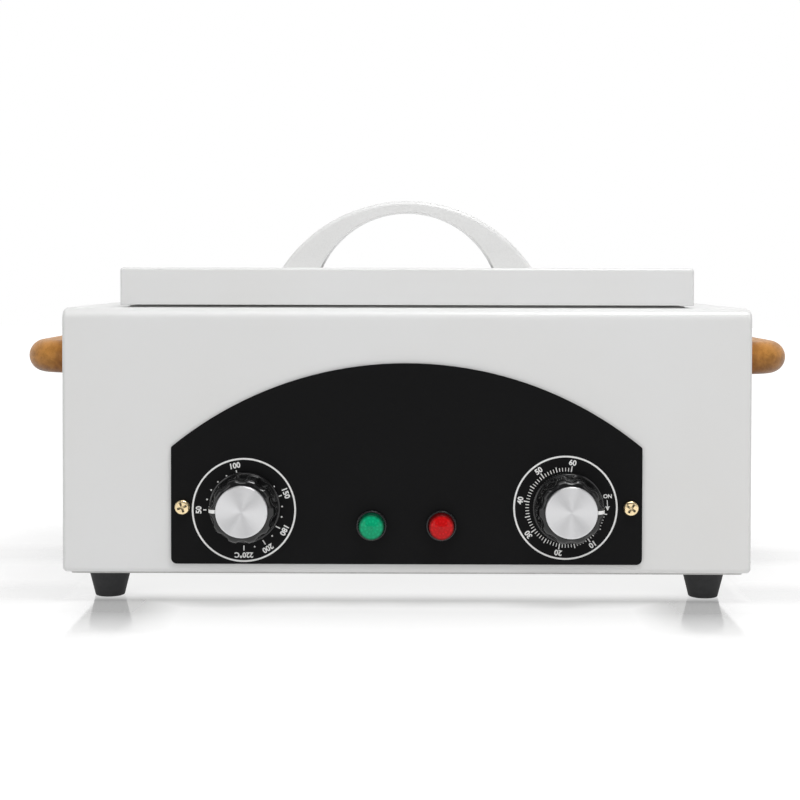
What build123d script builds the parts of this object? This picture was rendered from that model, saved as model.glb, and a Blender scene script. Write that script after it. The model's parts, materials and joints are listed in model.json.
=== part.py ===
"""Bench-top dry heat sterilizer, an assembly of separate pieces, in millimetres.

+Z is up and the control panel faces -Y. The origin is under the middle of the whole
object, on the surface that its feet stand on. Depths are counted from the housing's
front face towards the rear.
"""
import os
from build123d import *

# ---- driving dimensions -------------------------------------------------------------
# housing
body_width = 355.0
body_depth = 185.0
body_height = 136.5
sheet = 1.0
side_edge_radius = 2.4
bottom_edge_radius = 2.5
front_top_radius = 6.0
rear_top_radius = 4.2
bottom_flange = 14.0
base_inset = 3.7

# feet
foot_height = 15.0
foot_top_radius = 11.2
foot_bottom_radius = 7.6
foot_side_inset = 20.5
foot_front_inset = 23.5

# lid and its handle
lid_side_margin = 27.5
lid_front_margin = 15.0
lid_depth = 150.0
lid_height = 19.5
lid_gap = 1.3
lid_sheet = 1.0
lid_top_radius = 1.6
lid_corner_radius = 1.2
lid_handle_chord = 141.0
lid_handle_inner_chord = 97.5
lid_handle_height = 37.8
lid_handle_inner_height = 31.4
lid_handle_width = 24.0
lid_handle_edge_radius = 2.4

# chamber, tray, heater and insulation
chamber_lid_overlap = 14.0
chamber_height = 66.0
chamber_wall = 0.8
chamber_flange = 9.0
tray_side_gap = 5.0
tray_wall_height = 36.0
tray_foot_height = 5.0
tray_wall = 0.8
tray_hole_radius = 2.2
tray_hole_pitch = 13.0
tray_wire_radius = 1.5
tray_wire_rise = 11.0
tray_wire_span = 60.0
heater_pan_side_inset = 18.0
heater_pan_front_inset = 20.0
heater_pan_depth = 14.0
heater_pan_flange = 10.0
heater_tube_radius = 3.2
heater_leg_spacing = 44.0
heater_lead_length = 15.0
insulation_thickness = 10.0
insulation_gap = 0.3

# control panel
panel_width = 242.0
panel_side_height = 60.2
panel_arc_radius = 191.0
panel_thickness = 1.5
panel_bottom_margin = 4.9
panel_bottom_radius = 3.0
panel_shoulder_radius = 1.5
panel_screw_inset = 5.9
control_height = 34.2

# knobs and controls
knob_spacing = 166.0
knob_projection = 18.0
knob_skirt_radius = 18.4
knob_skirt_height = 1.6
knob_grip_radius = 17.2
knob_grip_top_radius = 16.0
knob_grip_height = 15.6
knob_lobes = 10
knob_flute_radius = 4.4
knob_flute_depth = 1.7
knob_cap_radius = 13.2
knob_cap_recess = 1.2
knob_bore_wall = 3.2
pointer_width = 1.8
pointer_proud = 0.25
shaft_radius = 3.0
bush_radius = 5.0
control_nut_width = 14.0
control_nut_height = 2.6
thermostat_width = 42.0
thermostat_height = 44.0
thermostat_depth = 30.0
timer_width = 46.0
timer_height = 50.0
timer_depth = 34.0

# lamps
lamp_spacing = 35.8
lamp_height = 25.0
lens_base_radius = 6.9
lens_front_radius = 6.35
lens_projection = 9.0
lens_dome = 1.4
lens_wall = 1.3
bezel_radius = 7.7
bezel_height = 2.5
lamp_body_radius = 4.9
lamp_body_length = 22.0

# side handles
side_handle_height = 109.0
side_handle_radius = 8.9
side_handle_reach = 31.2
side_handle_span = 96.0
side_handle_bend = 20.0

# hinges
hinge_spacing = 170.0
hinge_width = 42.0
hinge_leaf = 1.2
hinge_knuckle_radius = 3.2
hinge_pin_radius = 1.5
hinge_axis_gap = 5.0
hinge_axis_height = 3.4
hinge_base_length = 14.0
hinge_leaf_height = 13.0

# power inlet and terminals
inlet_side = 118.0
inlet_height = 33.0
inlet_flange_width = 50.0
inlet_flange_height = 24.0
inlet_flange_thickness = 2.0
inlet_body_width = 28.0
inlet_body_height = 20.0
inlet_body_depth = 19.0
socket_width = 24.6
socket_height = 16.6
socket_depth = 16.0
terminal_width = 50.0
terminal_depth = 22.0
terminal_height = 16.0
terminal_place = 110.0

# screws, nuts and studs
inlet_screw_head = 3.0
inlet_screw_length = 9.0
terminal_screw_head_height = 1.4
terminal_screw_shank = 1.2
terminal_screw_length = 3.0
handle_screw_head_height = 3.0
liner_screw_head = 2.6
liner_screw_length = 4.0
foot_screw_spare = 1.5
base_screw_shank = 1.5
base_screw_head = 2.6
base_screw_head_height = 0.8
base_screw_length = 7.0
foot_screw_shank = 2.0
foot_screw_head = 4.0
foot_screw_head_height = 2.6
foot_web = 4.0
foot_nut_width = 7.0
foot_nut_height = 3.0
panel_screw_shank = 1.9
panel_screw_head = 3.9
panel_screw_head_height = 2.4
panel_screw_length = 9.0
panel_screw_turns = (20.0, 55.0)
lamp_nut_width = 13.0
lamp_nut_height = 3.0
pan_stud_radius = 2.0
pan_stud_length = 7.0
pan_nut_width = 7.0
pan_nut_height = 3.2
inlet_screw_place = 20.0
inlet_screw_shank = 1.5
terminal_screw_radius = 2.0
handle_screw_shank = 2.4
handle_screw_head = 4.6
handle_screw_length = 16.0
hinge_screw_shank = 1.5
hinge_screw_head = 2.6
hinge_screw_pitch = 24.0
hinge_screw_length = 6.0
liner_screw_shank = 1.4
liner_screw_inset = 6.0
lid_screw_shank = 2.4
lid_screw_head = 4.4
lid_screw_head_height = 2.8
lid_screw_length = 10.0
screw_pocket = 6.0

# small details
weld = 0.5
stud_weld = 0.2
hinge_base_row = 2.5
hinge_leaf_row = 3.0
hinge_leaf_drop = 1.0
hinge_web_clearance = 1.0
hinge_pin_head = 1.0
hinge_pin_head_height = 1.2
hinge_seat_depth = 3.0
heater_tube_seat = 1.0
terminal_lead_step = 14.0
base_screw_corner_inset = 42.2
base_screw_row = 0.75
foot_rim_height = 0.6
foot_rim_radius = 0.8
foot_bore_margin = 1.0
knob_chamfer = 2.4
knob_skirt_bevel = 0.5
knob_hollow_wall = 3.2
knob_hollow_height = 9.0
knob_pocket_height = 5.5
knob_shaft_height = 12.5
knob_shaft_flat_start = 4.0
pointer_inlay = 0.6
pointer_side_drop = 4.0
cap_rim_radius = 0.7
control_corner_radius = 3.0
bush_spare_thread = 1.0
bezel_rim_radius = 0.35
lamp_socket_rise = 2.0
bulb_seat = 0.5
bulb_top = 5.2
bulb_tip_radius = 1.6
heater_bend_margin = 8.0
tray_corner_radius = 6.0
tray_foot_radius = 3.0
tray_foot_inset = 14.0
tray_wire_weld = 14.0
tray_wire_bend = 8.0
sensor_wall_inset = 6.0
capillary_exit = 8.0
capillary_run = 18.0
inlet_flange_radius = 4.0
inlet_neutral_offset = 7.0
inlet_pin_low = -1.5
inlet_earth_rise = 2.7
terminal_row = 5.5
terminal_well_depth = 7.0
terminal_corner_radius = 1.5
gasket_corner_radius = 8.0
lid_screw_clearance = 1.5
vent_slot_length = 26.0
vent_slot_width = 4.0
vent_slot_pitch = 12.0
vent_slot_count = 9
vent_front_row = 0.62
vent_back_row = 0.82
shaft_flat = 0.8
bulb_radius = 2.4
clip_length = 9.0
clip_width = 11.0
sensor_radius = 2.5
sensor_length = 60.0
capillary_radius = 0.8
capillary_bend = 3.0
inlet_pin_width = 2.0
inlet_pin_height = 4.0
inlet_pin_reach = 13.0
spade_length = 9.0
terminal_ways = 4
hinge_side_gap = 0.3
liner_thickness = 0.8
liner_rise = 1.4
plug_gap = 3.0
plug_drop = 4.2
gasket_width = 5.0
lid_tab = 14.0
gasket_inset = 2.5

# clearances
running_gap = 0.05
hole_gap = 0.1
seat_gap = 0.3
panel_gap = 0.8
wire_radius = 1.1
wire_bend = 6.0

# ---- places worked out from the values above ----------------------------------------
front_reach = panel_thickness + knob_projection
rear_reach = inlet_flange_thickness
front_y = -(body_depth + rear_reach - front_reach) / 2
base_z = foot_height + sheet
top_z = base_z + body_height
lid_width = body_width - 2 * lid_side_margin
lid_bottom = top_z + lid_gap
lid_top = lid_bottom + lid_height
lid_middle = lid_front_margin + lid_depth / 2
chamber_width = lid_width - 2 * chamber_lid_overlap
chamber_depth = lid_depth - 2 * chamber_lid_overlap
flange_top = top_z + chamber_wall
chamber_floor = flange_top - chamber_height
chamber_base = chamber_floor - chamber_wall
pan_width = chamber_width - 2 * heater_pan_side_inset
pan_depth = chamber_depth - 2 * heater_pan_front_inset
pan_floor = chamber_base - heater_pan_depth
heater_z = chamber_base - heater_pan_depth / 2
control_z = base_z + control_height
lamp_z = base_z + lamp_height
panel_bottom = base_z + panel_bottom_margin
thermostat_x = -knob_spacing / 2
timer_x = knob_spacing / 2
hinge_depth = lid_front_margin + lid_depth + hinge_axis_gap
hinge_z = top_z + hinge_axis_height
handle_z = base_z + side_handle_height
tray_width = chamber_width - 2 * tray_side_gap
tray_depth = chamber_depth - 2 * tray_side_gap
tray_bottom = chamber_floor + seat_gap
tray_floor = tray_bottom + tray_foot_height
tray_rim = tray_floor + tray_wall_height
grip_base = panel_gap
knob_hollow_top = grip_base + knob_hollow_height
knob_pocket_top = grip_base + knob_pocket_height
knob_shaft_top = grip_base + knob_shaft_height
nut_pocket_radius = control_nut_width / 3 ** 0.5 + 1.0

LOW = (Align.CENTER, Align.CENTER, Align.MIN)


# ---- helpers -------------------------------------------------------------------------
def save(name, *solids):
    """Write one node: a single solid, or a group of separate ones."""
    parts = []
    for solid in solids:
        parts.extend(solid.solids())
    shape = parts[0] if len(parts) == 1 else Compound(children=parts)
    export_step(shape, os.path.join("parts", name + ".step"))


def up(x, depth, z):
    """A place whose local +Z is up."""
    return Location((x, front_y + depth, z))


def down(x, depth, z):
    """A place whose local +Z points down."""
    return Plane((x, front_y + depth, z), x_dir=(1, 0, 0), z_dir=(0, 0, -1)).location


def forward(x, depth, z):
    """A place whose local +Z points out of the front and local +Y is up."""
    return Plane((x, front_y + depth, z), x_dir=(1, 0, 0), z_dir=(0, -1, 0)).location


def rearward(x, depth, z):
    """A place whose local +Z points out of the rear and local +Y is up."""
    return Plane((x, front_y + depth, z), x_dir=(-1, 0, 0), z_dir=(0, 1, 0)).location


def sideways(side, x, depth, z):
    """A place whose local +Z points along +X or -X, by side, and local +Y is up."""
    return Plane((x, front_y + depth, z), x_dir=(0, side, 0), z_dir=(side, 0, 0)).location


def block(x_low, x_high, d_low, d_high, z_low, z_high):
    """A plain block between two corners, with depths for Y."""
    size = (x_high - x_low, d_high - d_low, z_high - z_low)
    corner = Location((x_low, front_y + d_low, z_low))
    return corner * Box(*size, align=(Align.MIN, Align.MIN, Align.MIN))


def slab(width, depth, middle, z_low, z_high):
    """A plain block centred on X and on one depth."""
    return block(-width / 2, width / 2, middle - depth / 2, middle + depth / 2, z_low, z_high)


def rod(radius, low, high):
    """A round bar along local Z."""
    return Location((0, 0, low)) * Cylinder(radius, high - low, align=LOW)


def ring(outer, inner, low, high):
    """A round tube along local Z."""
    return rod(outer, low, high) - rod(inner, low - 1, high + 1)


def turned(points):
    """A solid turned about local Z from (radius, height) points."""
    outline = Polyline(*points, close=True)
    face = Plane.XZ.location * make_face(outline)
    return revolve(face, axis=Axis.Z)


def cross_recess(radius, top, depth):
    """The cutter for a cross recess in a screw's head."""
    slot = 0.28 * radius
    arm = Box(1.3 * radius, slot, 2 * depth)
    return Location((0, 0, top)) * (arm + Box(slot, 1.3 * radius, 2 * depth))


def pan_screw(head_radius, head_height, shank_radius, length):
    """A round-headed cross screw, its head above local Z = 0."""
    shoulder = 0.45 * head_height
    head = rod(head_radius, 0, head_height)
    head = fillet(head.edges().group_by(Axis.Z)[-1], head_height - shoulder)
    head = head - cross_recess(head_radius, head_height, 0.5 * head_height)
    return head + rod(shank_radius, -length, 0)


def flat_screw(head_radius, shank_radius, length):
    """A countersunk cross screw, its head level with local Z = 0."""
    cone = head_radius - shank_radius
    body = turned([(0, 0), (head_radius, 0), (shank_radius, -cone), (shank_radius, -length), (0, -length)])
    return body - cross_recess(head_radius, 0, 0.4 * cone)


def countersink(head_radius, shank_radius, length):
    """The cutter for a countersunk screw's seat."""
    cone = head_radius - shank_radius
    profile = [(0, 1), (head_radius, 1), (head_radius, 0), (shank_radius, -cone)]
    return turned(profile + [(shank_radius, -length), (0, -length)])


def hex_nut(width, height, hole_radius):
    """A hexagon nut standing on local Z = 0."""
    sketch = RegularPolygon(width / 2, 6, major_radius=False) - Circle(hole_radius)
    return extrude(sketch, height)


def repeated(places, outline, height):
    """One outline extruded at each place of a pattern."""
    return extrude(Sketch() + [place * outline for place in places], height)


def corners(half_x, half_y):
    """The four corners of a rectangle about zero."""
    return [(x, y) for x in (-half_x, half_x) for y in (-half_y, half_y)]


# ---- housing -------------------------------------------------------------------------
def soft_block(width, depth, height, side_radius, front_radius, rear_radius, bottom_radius):
    """A block with a large front-top edge and rounded sides, standing on Z = 0, front at Y = 0."""
    profile = Rectangle(depth, height, align=(Align.MIN, Align.MIN))
    profile = fillet(profile.vertices().group_by(Axis.Y)[0], bottom_radius)
    top = profile.vertices().group_by(Axis.Y)[-1].sort_by(Axis.X)
    profile = fillet(top[0], front_radius)
    top = profile.vertices().group_by(Axis.Y)[-1].sort_by(Axis.X)
    corner = [v for v in profile.vertices() if v.Y > height - 0.01 and v.X > depth - 0.01]
    profile = fillet(corner, rear_radius)
    side = Plane((-width / 2, 0, 0), x_dir=(0, 1, 0), z_dir=(1, 0, 0)).location
    solid = extrude(side * profile, width)
    ends = solid.faces().group_by(Axis.X)
    return fillet(ends[0][0].edges() + ends[-1][0].edges(), side_radius)


def housing_shell():
    outer = soft_block(body_width, body_depth, body_height,
                       side_edge_radius, front_top_radius, rear_top_radius, bottom_edge_radius)
    inner = soft_block(body_width - 2 * sheet, body_depth - 2 * sheet, body_height - 2 * sheet,
                       side_edge_radius - sheet, front_top_radius - sheet, rear_top_radius - sheet,
                       bottom_edge_radius - sheet)
    shell = Location((0, front_y, base_z)) * outer
    shell = shell - Location((0, front_y + sheet, base_z + sheet)) * inner
    shell = shell - slab(body_width - 2 * bottom_flange, body_depth - 2 * bottom_flange,
                         body_depth / 2, base_z - 1, base_z + 2 * sheet)
    shell = shell - slab(chamber_width + 2 * chamber_wall + 2 * hole_gap,
                         chamber_depth + 2 * chamber_wall + 2 * hole_gap,
                         lid_middle, top_z - 2 * sheet, top_z + 1)
    for x in (thermostat_x, timer_x):
        shell = shell - forward(x, 0, control_z) * rod(bush_radius + hole_gap, -2 * sheet, 1)
    for x in (-lamp_spacing / 2, lamp_spacing / 2):
        shell = shell - forward(x, 0, lamp_z) * rod(lamp_body_radius + hole_gap, -2 * sheet, 1)
    for x in panel_screw_places():
        shell = shell - forward(x, 0, control_z) * rod(panel_screw_shank, -2 * sheet, 1)
    for side in (-1, 1):
        for place in handle_leg_places():
            hole = rod(handle_screw_shank + hole_gap, -2 * sheet, 1)
            shell = shell - sideways(side, side * body_width / 2, place, handle_z) * hole
    for x, depth in base_screw_places():
        shell = shell - up(x, depth, base_z) * rod(base_screw_shank, -1, 2 * sheet)
    for x, depth in hinge_screw_places():
        shell = shell - up(x, depth, top_z) * rod(hinge_screw_shank, -2 * sheet, 1)
    opening = Box(inlet_body_width + 2 * hole_gap, inlet_body_height + 2 * hole_gap, 4 * sheet)
    shell = shell - inlet_place() * opening
    for x in (-inlet_screw_place, inlet_screw_place):
        shell = shell - inlet_place() * Location((x, 0, 0)) * rod(inlet_screw_shank, -2 * sheet, 1)
    return shell


def base_screw_places():
    """Screws in the housing's bottom flange: near the corners and in the middle of each long side."""
    half_x = body_width / 2 - bottom_flange / 2 - sheet - base_screw_corner_inset
    inset = base_screw_row * bottom_flange
    rows = (inset, body_depth - inset)
    return [(x, depth) for x in (-half_x, 0, half_x) for depth in rows]


def foot_places():
    half_x = body_width / 2 - foot_side_inset
    return [(x, d) for x in (-half_x, half_x) for d in (foot_front_inset, body_depth - foot_front_inset)]


def base_plate():
    plate = slab(body_width - 2 * base_inset, body_depth - 2 * base_inset,
                 body_depth / 2, foot_height, base_z)
    upright = plate.edges().filter_by(Axis.Z)
    plate = fillet(upright, side_edge_radius)
    for x, depth in foot_places():
        plate = plate - up(x, depth, foot_height) * rod(foot_screw_shank + hole_gap, -1, 2 * sheet)
    for x, depth in base_screw_places():
        plate = plate - up(x, depth, foot_height) * rod(base_screw_shank + hole_gap, -1, 2 * sheet)
    slot = SlotOverall(vent_slot_length, vent_slot_width, rotation=90)
    cutter = repeated(GridLocations(vent_slot_pitch, 0, vent_slot_count, 1), slot, 4 * sheet)
    for depth in (vent_front_row * body_depth, vent_back_row * body_depth):
        plate = plate - up(0, depth, foot_height - sheet) * cutter
    return plate


def foot():
    """A tapered rubber foot hanging down from local Z = 0, bored for its screw."""
    seat = foot_screw_head + foot_bore_margin
    body = turned([(0, 0), (foot_top_radius, 0), (foot_top_radius, -foot_rim_height),
                   (foot_bottom_radius, -foot_height), (0, -foot_height)])
    rims = body.edges().filter_by(GeomType.CIRCLE).group_by(Axis.Z)
    body = fillet(rims[0], foot_rim_radius)
    body = body - rod(foot_screw_shank + hole_gap, -foot_height - 1, 1)
    return body - rod(seat, -foot_height - 1, -foot_web)


def foot_screw():
    """Head up inside the foot's counterbore, threaded through foot and base plate."""
    length = foot_web + sheet + foot_nut_height + foot_screw_spare
    return pan_screw(foot_screw_head, foot_screw_head_height, foot_screw_shank, length)


# ---- control panel -------------------------------------------------------------------


def panel_screw_places():
    x = panel_width / 2 - panel_screw_inset
    return (-x, x)


def control_panel():
    half = panel_width / 2
    rise = panel_arc_radius - (panel_arc_radius ** 2 - half ** 2) ** 0.5
    apex = panel_side_height + rise
    sides = Polyline((-half, panel_side_height), (-half, 0), (half, 0), (half, panel_side_height))
    arch = ThreePointArc((half, panel_side_height), (0, apex), (-half, panel_side_height))
    outline = make_face(sides + arch)
    feet_corners = outline.vertices().group_by(Axis.Y)[0]
    outline = fillet(feet_corners, panel_bottom_radius)
    shoulders = [v for v in outline.vertices() if abs(v.Y - panel_side_height) < 0.01]
    outline = fillet(shoulders, panel_shoulder_radius)
    plate = forward(0, 0, panel_bottom) * extrude(outline, panel_thickness)
    for x in (thermostat_x, timer_x):
        plate = plate - forward(x, 0, control_z) * rod(bush_radius + hole_gap, -1, 2 * panel_thickness)
    for x in (-lamp_spacing / 2, lamp_spacing / 2):
        plate = plate - forward(x, 0, lamp_z) * rod(lamp_body_radius + hole_gap, -1, 2 * panel_thickness)
    for x in panel_screw_places():
        hole = rod(panel_screw_shank + hole_gap, -1, 2 * panel_thickness)
        plate = plate - forward(x, 0, control_z) * hole
    return plate


def panel_screws():
    """Each turned as far as it happened to be tightened."""
    shank = panel_screw_shank - hole_gap
    screw = pan_screw(panel_screw_head, panel_screw_head_height, shank, panel_screw_length)
    screws = []
    for x, turn in zip(panel_screw_places(), panel_screw_turns):
        screws.append(forward(x, -panel_thickness, control_z) * Rot(0, 0, turn) * screw)
    return screws


# ---- knobs and what they turn --------------------------------------------------------
def knob_place(x):
    """Local Z = 0 is the panel's face, +Z towards the user."""
    return forward(x, -panel_thickness, control_z)


def grip_profile(proud):
    """The turned outline of a knob, grown outwards by a small amount."""
    top = grip_base + knob_grip_height
    skirt_top = grip_base + knob_skirt_height
    bevel = knob_skirt_bevel
    chamfer = knob_chamfer
    return [(0, grip_base), (knob_skirt_radius, grip_base), (knob_skirt_radius, skirt_top - bevel),
            (knob_skirt_radius - bevel, skirt_top), (knob_grip_radius + proud, skirt_top),
            (knob_grip_top_radius + proud, top - chamfer), (knob_grip_top_radius - chamfer, top + proud),
            (0, top + proud)]


def knob_grip(pointer_angle):
    """A fluted grip with a skirt, hollow underneath, with a recess for its cap and pointer."""
    top = grip_base + knob_grip_height
    skirt_top = grip_base + knob_skirt_height
    grip = turned(grip_profile(0))
    centre = knob_grip_radius - knob_flute_depth + knob_flute_radius
    flute = rod(knob_flute_radius, skirt_top + knob_flute_depth, top + 1)
    bottom = Location((0, 0, skirt_top + knob_flute_depth)) * Sphere(knob_flute_radius)
    bottom = bottom & rod(2 * knob_flute_radius, skirt_top, top)
    for index in range(knob_lobes):
        turn = pointer_angle + 360 * (index + 0.5) / knob_lobes
        grip = grip - Rot(0, 0, turn) * Location((centre, 0, 0)) * (flute + bottom)
    grip = grip - rod(knob_cap_radius, top - knob_cap_recess, top + 1)
    boss_radius = shaft_radius + knob_bore_wall
    hollow = ring(knob_grip_top_radius - knob_hollow_wall, boss_radius, grip_base - 1, knob_hollow_top)
    grip = grip - hollow
    grip = grip - rod(nut_pocket_radius, grip_base - 1, knob_pocket_top)
    grip = grip - shaft_bar(running_gap, knob_pocket_top - 1, knob_shaft_top + running_gap)
    return grip - pointer_slab(pointer_angle, 0)


def shaft_bar(gap, low, high):
    """A round shaft with a flat along one side, grown by a gap."""
    bar = rod(shaft_radius + gap, low, high)
    size = 2 * shaft_radius + 2
    edge = shaft_radius - shaft_flat + gap
    flat = Location((edge + size / 2, 0, (low + high) / 2)) * Box(size, size, high - low + 2)
    return bar - flat


def pointer_slab(pointer_angle, proud):
    """The pointer's bar: it lies in the grip's face from the cap's edge out to the skirt side."""
    top = grip_base + knob_grip_height
    shell = turned(grip_profile(proud)) - turned(grip_profile(-pointer_inlay))
    shell = shell - rod(knob_cap_radius, -1, top + 2)
    shell = shell & ring(knob_grip_radius + 1, knob_cap_radius, top - pointer_side_drop, top + 1)
    middle = (knob_grip_radius + knob_cap_radius) / 2
    length = 2 * (knob_grip_radius - knob_cap_radius) + 2
    bar = Location((middle, 0, top)) * Box(length, pointer_width, 3 * pointer_side_drop)
    return Rot(0, 0, pointer_angle) * (shell & bar)


def knob_pointer(pointer_angle):
    """The white bar, inlaid in the grip and a little proud of it."""
    return pointer_slab(pointer_angle, pointer_proud)


def knob_cap():
    """A spun disc with a softened rim, seated in the grip's recess."""
    low = grip_base + knob_grip_height - knob_cap_recess
    disc = rod(knob_cap_radius - running_gap, low, knob_projection)
    return fillet(disc.edges().group_by(Axis.Z)[-1], cap_rim_radius)


def control_shaft(depth):
    """A shaft from inside its control, out through the bush, into the knob."""
    tail = -panel_thickness - depth / 3
    step = panel_gap + knob_shaft_flat_start
    knob_end = shaft_bar(0, step, knob_shaft_top)
    return knob_end + rod(shaft_radius, tail, step)


def control_body(width, height, depth):
    """A control behind the front wall, with a threaded bush that passes through wall and panel."""
    back = -panel_thickness - sheet
    case = Location((0, 0, back - depth)) * Box(width, height, depth, align=LOW)
    case = fillet(case.edges().filter_by(Axis.Z), control_corner_radius)
    bush_end = control_nut_height + bush_spare_thread
    body = case + rod(bush_radius, back - 1, bush_end)
    bore_end = -panel_thickness - depth / 3 - seat_gap
    return body - rod(shaft_radius + running_gap, bore_end, bush_end + 1)


def control_nut():
    return hex_nut(control_nut_width, control_nut_height, bush_radius)


# ---- lamps ---------------------------------------------------------------------------
def lamp_place(x):
    return forward(x, -panel_thickness, lamp_z)


def lamp_lens():
    """A hollow coloured cap with a slight taper and a domed front."""
    front = lens_projection - lens_dome
    barrel = turned([(0, 0), (lens_base_radius, 0), (lens_base_radius, bezel_height),
                     (lens_front_radius, front), (0, front)])
    dome_radius = (lens_front_radius ** 2 + lens_dome ** 2) / (2 * lens_dome)
    ball = Location((0, 0, lens_projection - dome_radius)) * Sphere(dome_radius)
    lens = barrel + (ball & rod(lens_base_radius, front - stud_weld / 2, lens_projection + 1))
    return lens - rod(lens_front_radius - lens_wall, -1, front - lens_wall)


def lamp_bezel():
    bezel = ring(bezel_radius, lens_base_radius + running_gap, 0, bezel_height)
    edge = bezel.edges().filter_by(GeomType.CIRCLE).group_by(Axis.Z)[-1].sort_by(SortBy.RADIUS)[-1]
    return fillet(edge, bezel_rim_radius)


def lamp_body():
    """The lamp's socket: a threaded stem with a collar that the lens presses on."""
    collar = rod(lens_front_radius - lens_wall - running_gap, 0, lamp_socket_rise)
    stem = rod(lamp_body_radius, -lamp_body_length, lamp_socket_rise)
    return collar + stem - rod(bulb_radius, bulb_seat, lamp_socket_rise + 1)


def lamp_bulb():
    bulb = rod(bulb_radius, bulb_seat, bulb_top)
    return fillet(bulb.edges().group_by(Axis.Z)[-1], bulb_tip_radius)


# ---- chamber, tray, heater and insulation --------------------------------------------
def inner_chamber():
    outer_w = chamber_width + 2 * chamber_wall
    outer_d = chamber_depth + 2 * chamber_wall
    shell = slab(outer_w, outer_d, lid_middle, chamber_base, flange_top)
    shell = shell + slab(outer_w + 2 * chamber_flange, outer_d + 2 * chamber_flange,
                         lid_middle, top_z, flange_top)
    shell = shell - slab(chamber_width, chamber_depth, lid_middle, chamber_floor, flange_top + 1)
    for x, y in pan_stud_places():
        stud = rod(pan_stud_radius, -stud_weld, pan_stud_length)
        shell = shell + down(x, lid_middle + y, chamber_base) * stud
    return shell


def pan_stud_places():
    half_x = pan_width / 2 + heater_pan_flange / 2
    return corners(half_x, pan_depth / 2 - pan_nut_width)


def heater_pan():
    wall = chamber_wall
    pan = slab(pan_width, pan_depth, lid_middle, pan_floor, chamber_base)
    pan = pan + slab(pan_width + 2 * heater_pan_flange, pan_depth + 2 * heater_pan_flange,
                     lid_middle, chamber_base - wall, chamber_base)
    pan = pan - slab(pan_width - 2 * wall, pan_depth - 2 * wall, lid_middle,
                     pan_floor + wall, chamber_base + 1)
    for x, y in pan_stud_places():
        pan = pan - down(x, lid_middle + y, chamber_base) * rod(pan_stud_radius + hole_gap, -1, 2)
    for y in (-heater_leg_spacing / 2, heater_leg_spacing / 2):
        hole = rod(heater_tube_radius + hole_gap, -2 * wall, 2 * wall)
        pan = pan - sideways(1, pan_width / 2, lid_middle + y, heater_z) * hole
    return pan


def heating_element():
    """A tubular element bent to a U, both ends leaving through the pan's right wall."""
    bend = heater_leg_spacing / 2
    near = lid_middle - bend
    far = lid_middle + bend
    right = pan_width / 2 + heater_lead_length
    left = -pan_width / 2 + heater_tube_radius + bend + heater_bend_margin
    first = Line((right, front_y + near, heater_z), (left, front_y + near, heater_z))
    turn = ThreePointArc((left, front_y + near, heater_z), (left - bend, front_y + lid_middle, heater_z),
                         (left, front_y + far, heater_z))
    second = Line((left, front_y + far, heater_z), (right, front_y + far, heater_z))
    section = sideways(-1, right, near, heater_z) * Circle(heater_tube_radius)
    return sweep(section, path=Wire([first, turn, second]))


def heater_clip():
    """A saddle that stands on the pan's floor and cradles the element from below."""
    height = heater_z - pan_floor - chamber_wall
    saddle = Box(clip_length, clip_width, height, align=LOW)
    groove = Rot(0, 90, 0) * rod(heater_tube_radius + running_gap, -clip_length, clip_length)
    return saddle - Location((0, 0, height)) * groove


def heater_clips():
    clips = []
    for x in (-pan_width / 4, pan_width / 4):
        for y in (-heater_leg_spacing / 2, heater_leg_spacing / 2):
            clips.append(up(x, lid_middle + y, pan_floor + chamber_wall) * heater_clip())
    return clips


def side_insulation():
    inner_w = chamber_width + 2 * chamber_wall + 2 * insulation_gap
    inner_d = chamber_depth + 2 * chamber_wall + 2 * insulation_gap
    low = chamber_base + heater_tube_seat
    high = top_z - sheet - insulation_gap
    wrap = slab(inner_w + 2 * insulation_thickness, inner_d + 2 * insulation_thickness,
                lid_middle, low, high)
    return wrap - slab(inner_w, inner_d, lid_middle, low - 1, high + 1)


def floor_insulation():
    high = pan_floor - insulation_gap
    return slab(pan_width, pan_depth, lid_middle, high - insulation_thickness, high)


def tray():
    """A perforated tray with four short feet."""
    body = slab(tray_width, tray_depth, lid_middle, tray_floor, tray_rim)
    body = fillet(body.edges().filter_by(Axis.Z), tray_corner_radius)
    inside = slab(tray_width - 2 * tray_wall, tray_depth - 2 * tray_wall,
                  lid_middle, tray_floor + tray_wall, tray_rim + 1)
    inside = fillet(inside.edges().filter_by(Axis.Z), tray_corner_radius - tray_wall)
    body = body - inside
    columns = int((tray_width - 2 * tray_hole_pitch) / tray_hole_pitch)
    rows = int((tray_depth - 2 * tray_hole_pitch) / tray_hole_pitch)
    grid = GridLocations(tray_hole_pitch, tray_hole_pitch, columns, rows)
    floor_holes = repeated(grid, Circle(tray_hole_radius), 4 * tray_wall)
    body = body - up(0, lid_middle, tray_floor - tray_wall) * floor_holes
    wall_grid = GridLocations(2 * tray_hole_pitch, tray_hole_pitch, columns // 2, 2)
    wall_holes = repeated(wall_grid, Circle(tray_hole_radius), tray_depth + 4)
    middle = (tray_floor + tray_rim) / 2
    body = body - forward(0, lid_middle + tray_depth / 2 + 2, middle) * wall_holes
    for x, y in corners(tray_width / 2 - tray_foot_inset, tray_depth / 2 - tray_foot_inset):
        leg = rod(tray_foot_radius, 0, tray_foot_height + tray_wall / 2)
        body = body + up(x, lid_middle + y, tray_bottom) * leg
    return body


def tray_handles():
    """A wire arch welded inside each end of the tray."""
    handles = []
    for side in (-1, 1):
        x = side * (tray_width / 2 - tray_wall - tray_wire_radius)
        low = tray_rim - tray_wire_weld
        high = tray_rim + tray_wire_rise - tray_wire_radius
        near = front_y + lid_middle - tray_wire_span / 2
        far = front_y + lid_middle + tray_wire_span / 2
        route = FilletPolyline((x, near, low), (x, near, high), (x, far, high), (x, far, low),
                               radius=tray_wire_bend)
        section = Location((x, near, low)) * Circle(tray_wire_radius)
        handles.append(sweep(section, path=route))
    return handles


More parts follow.
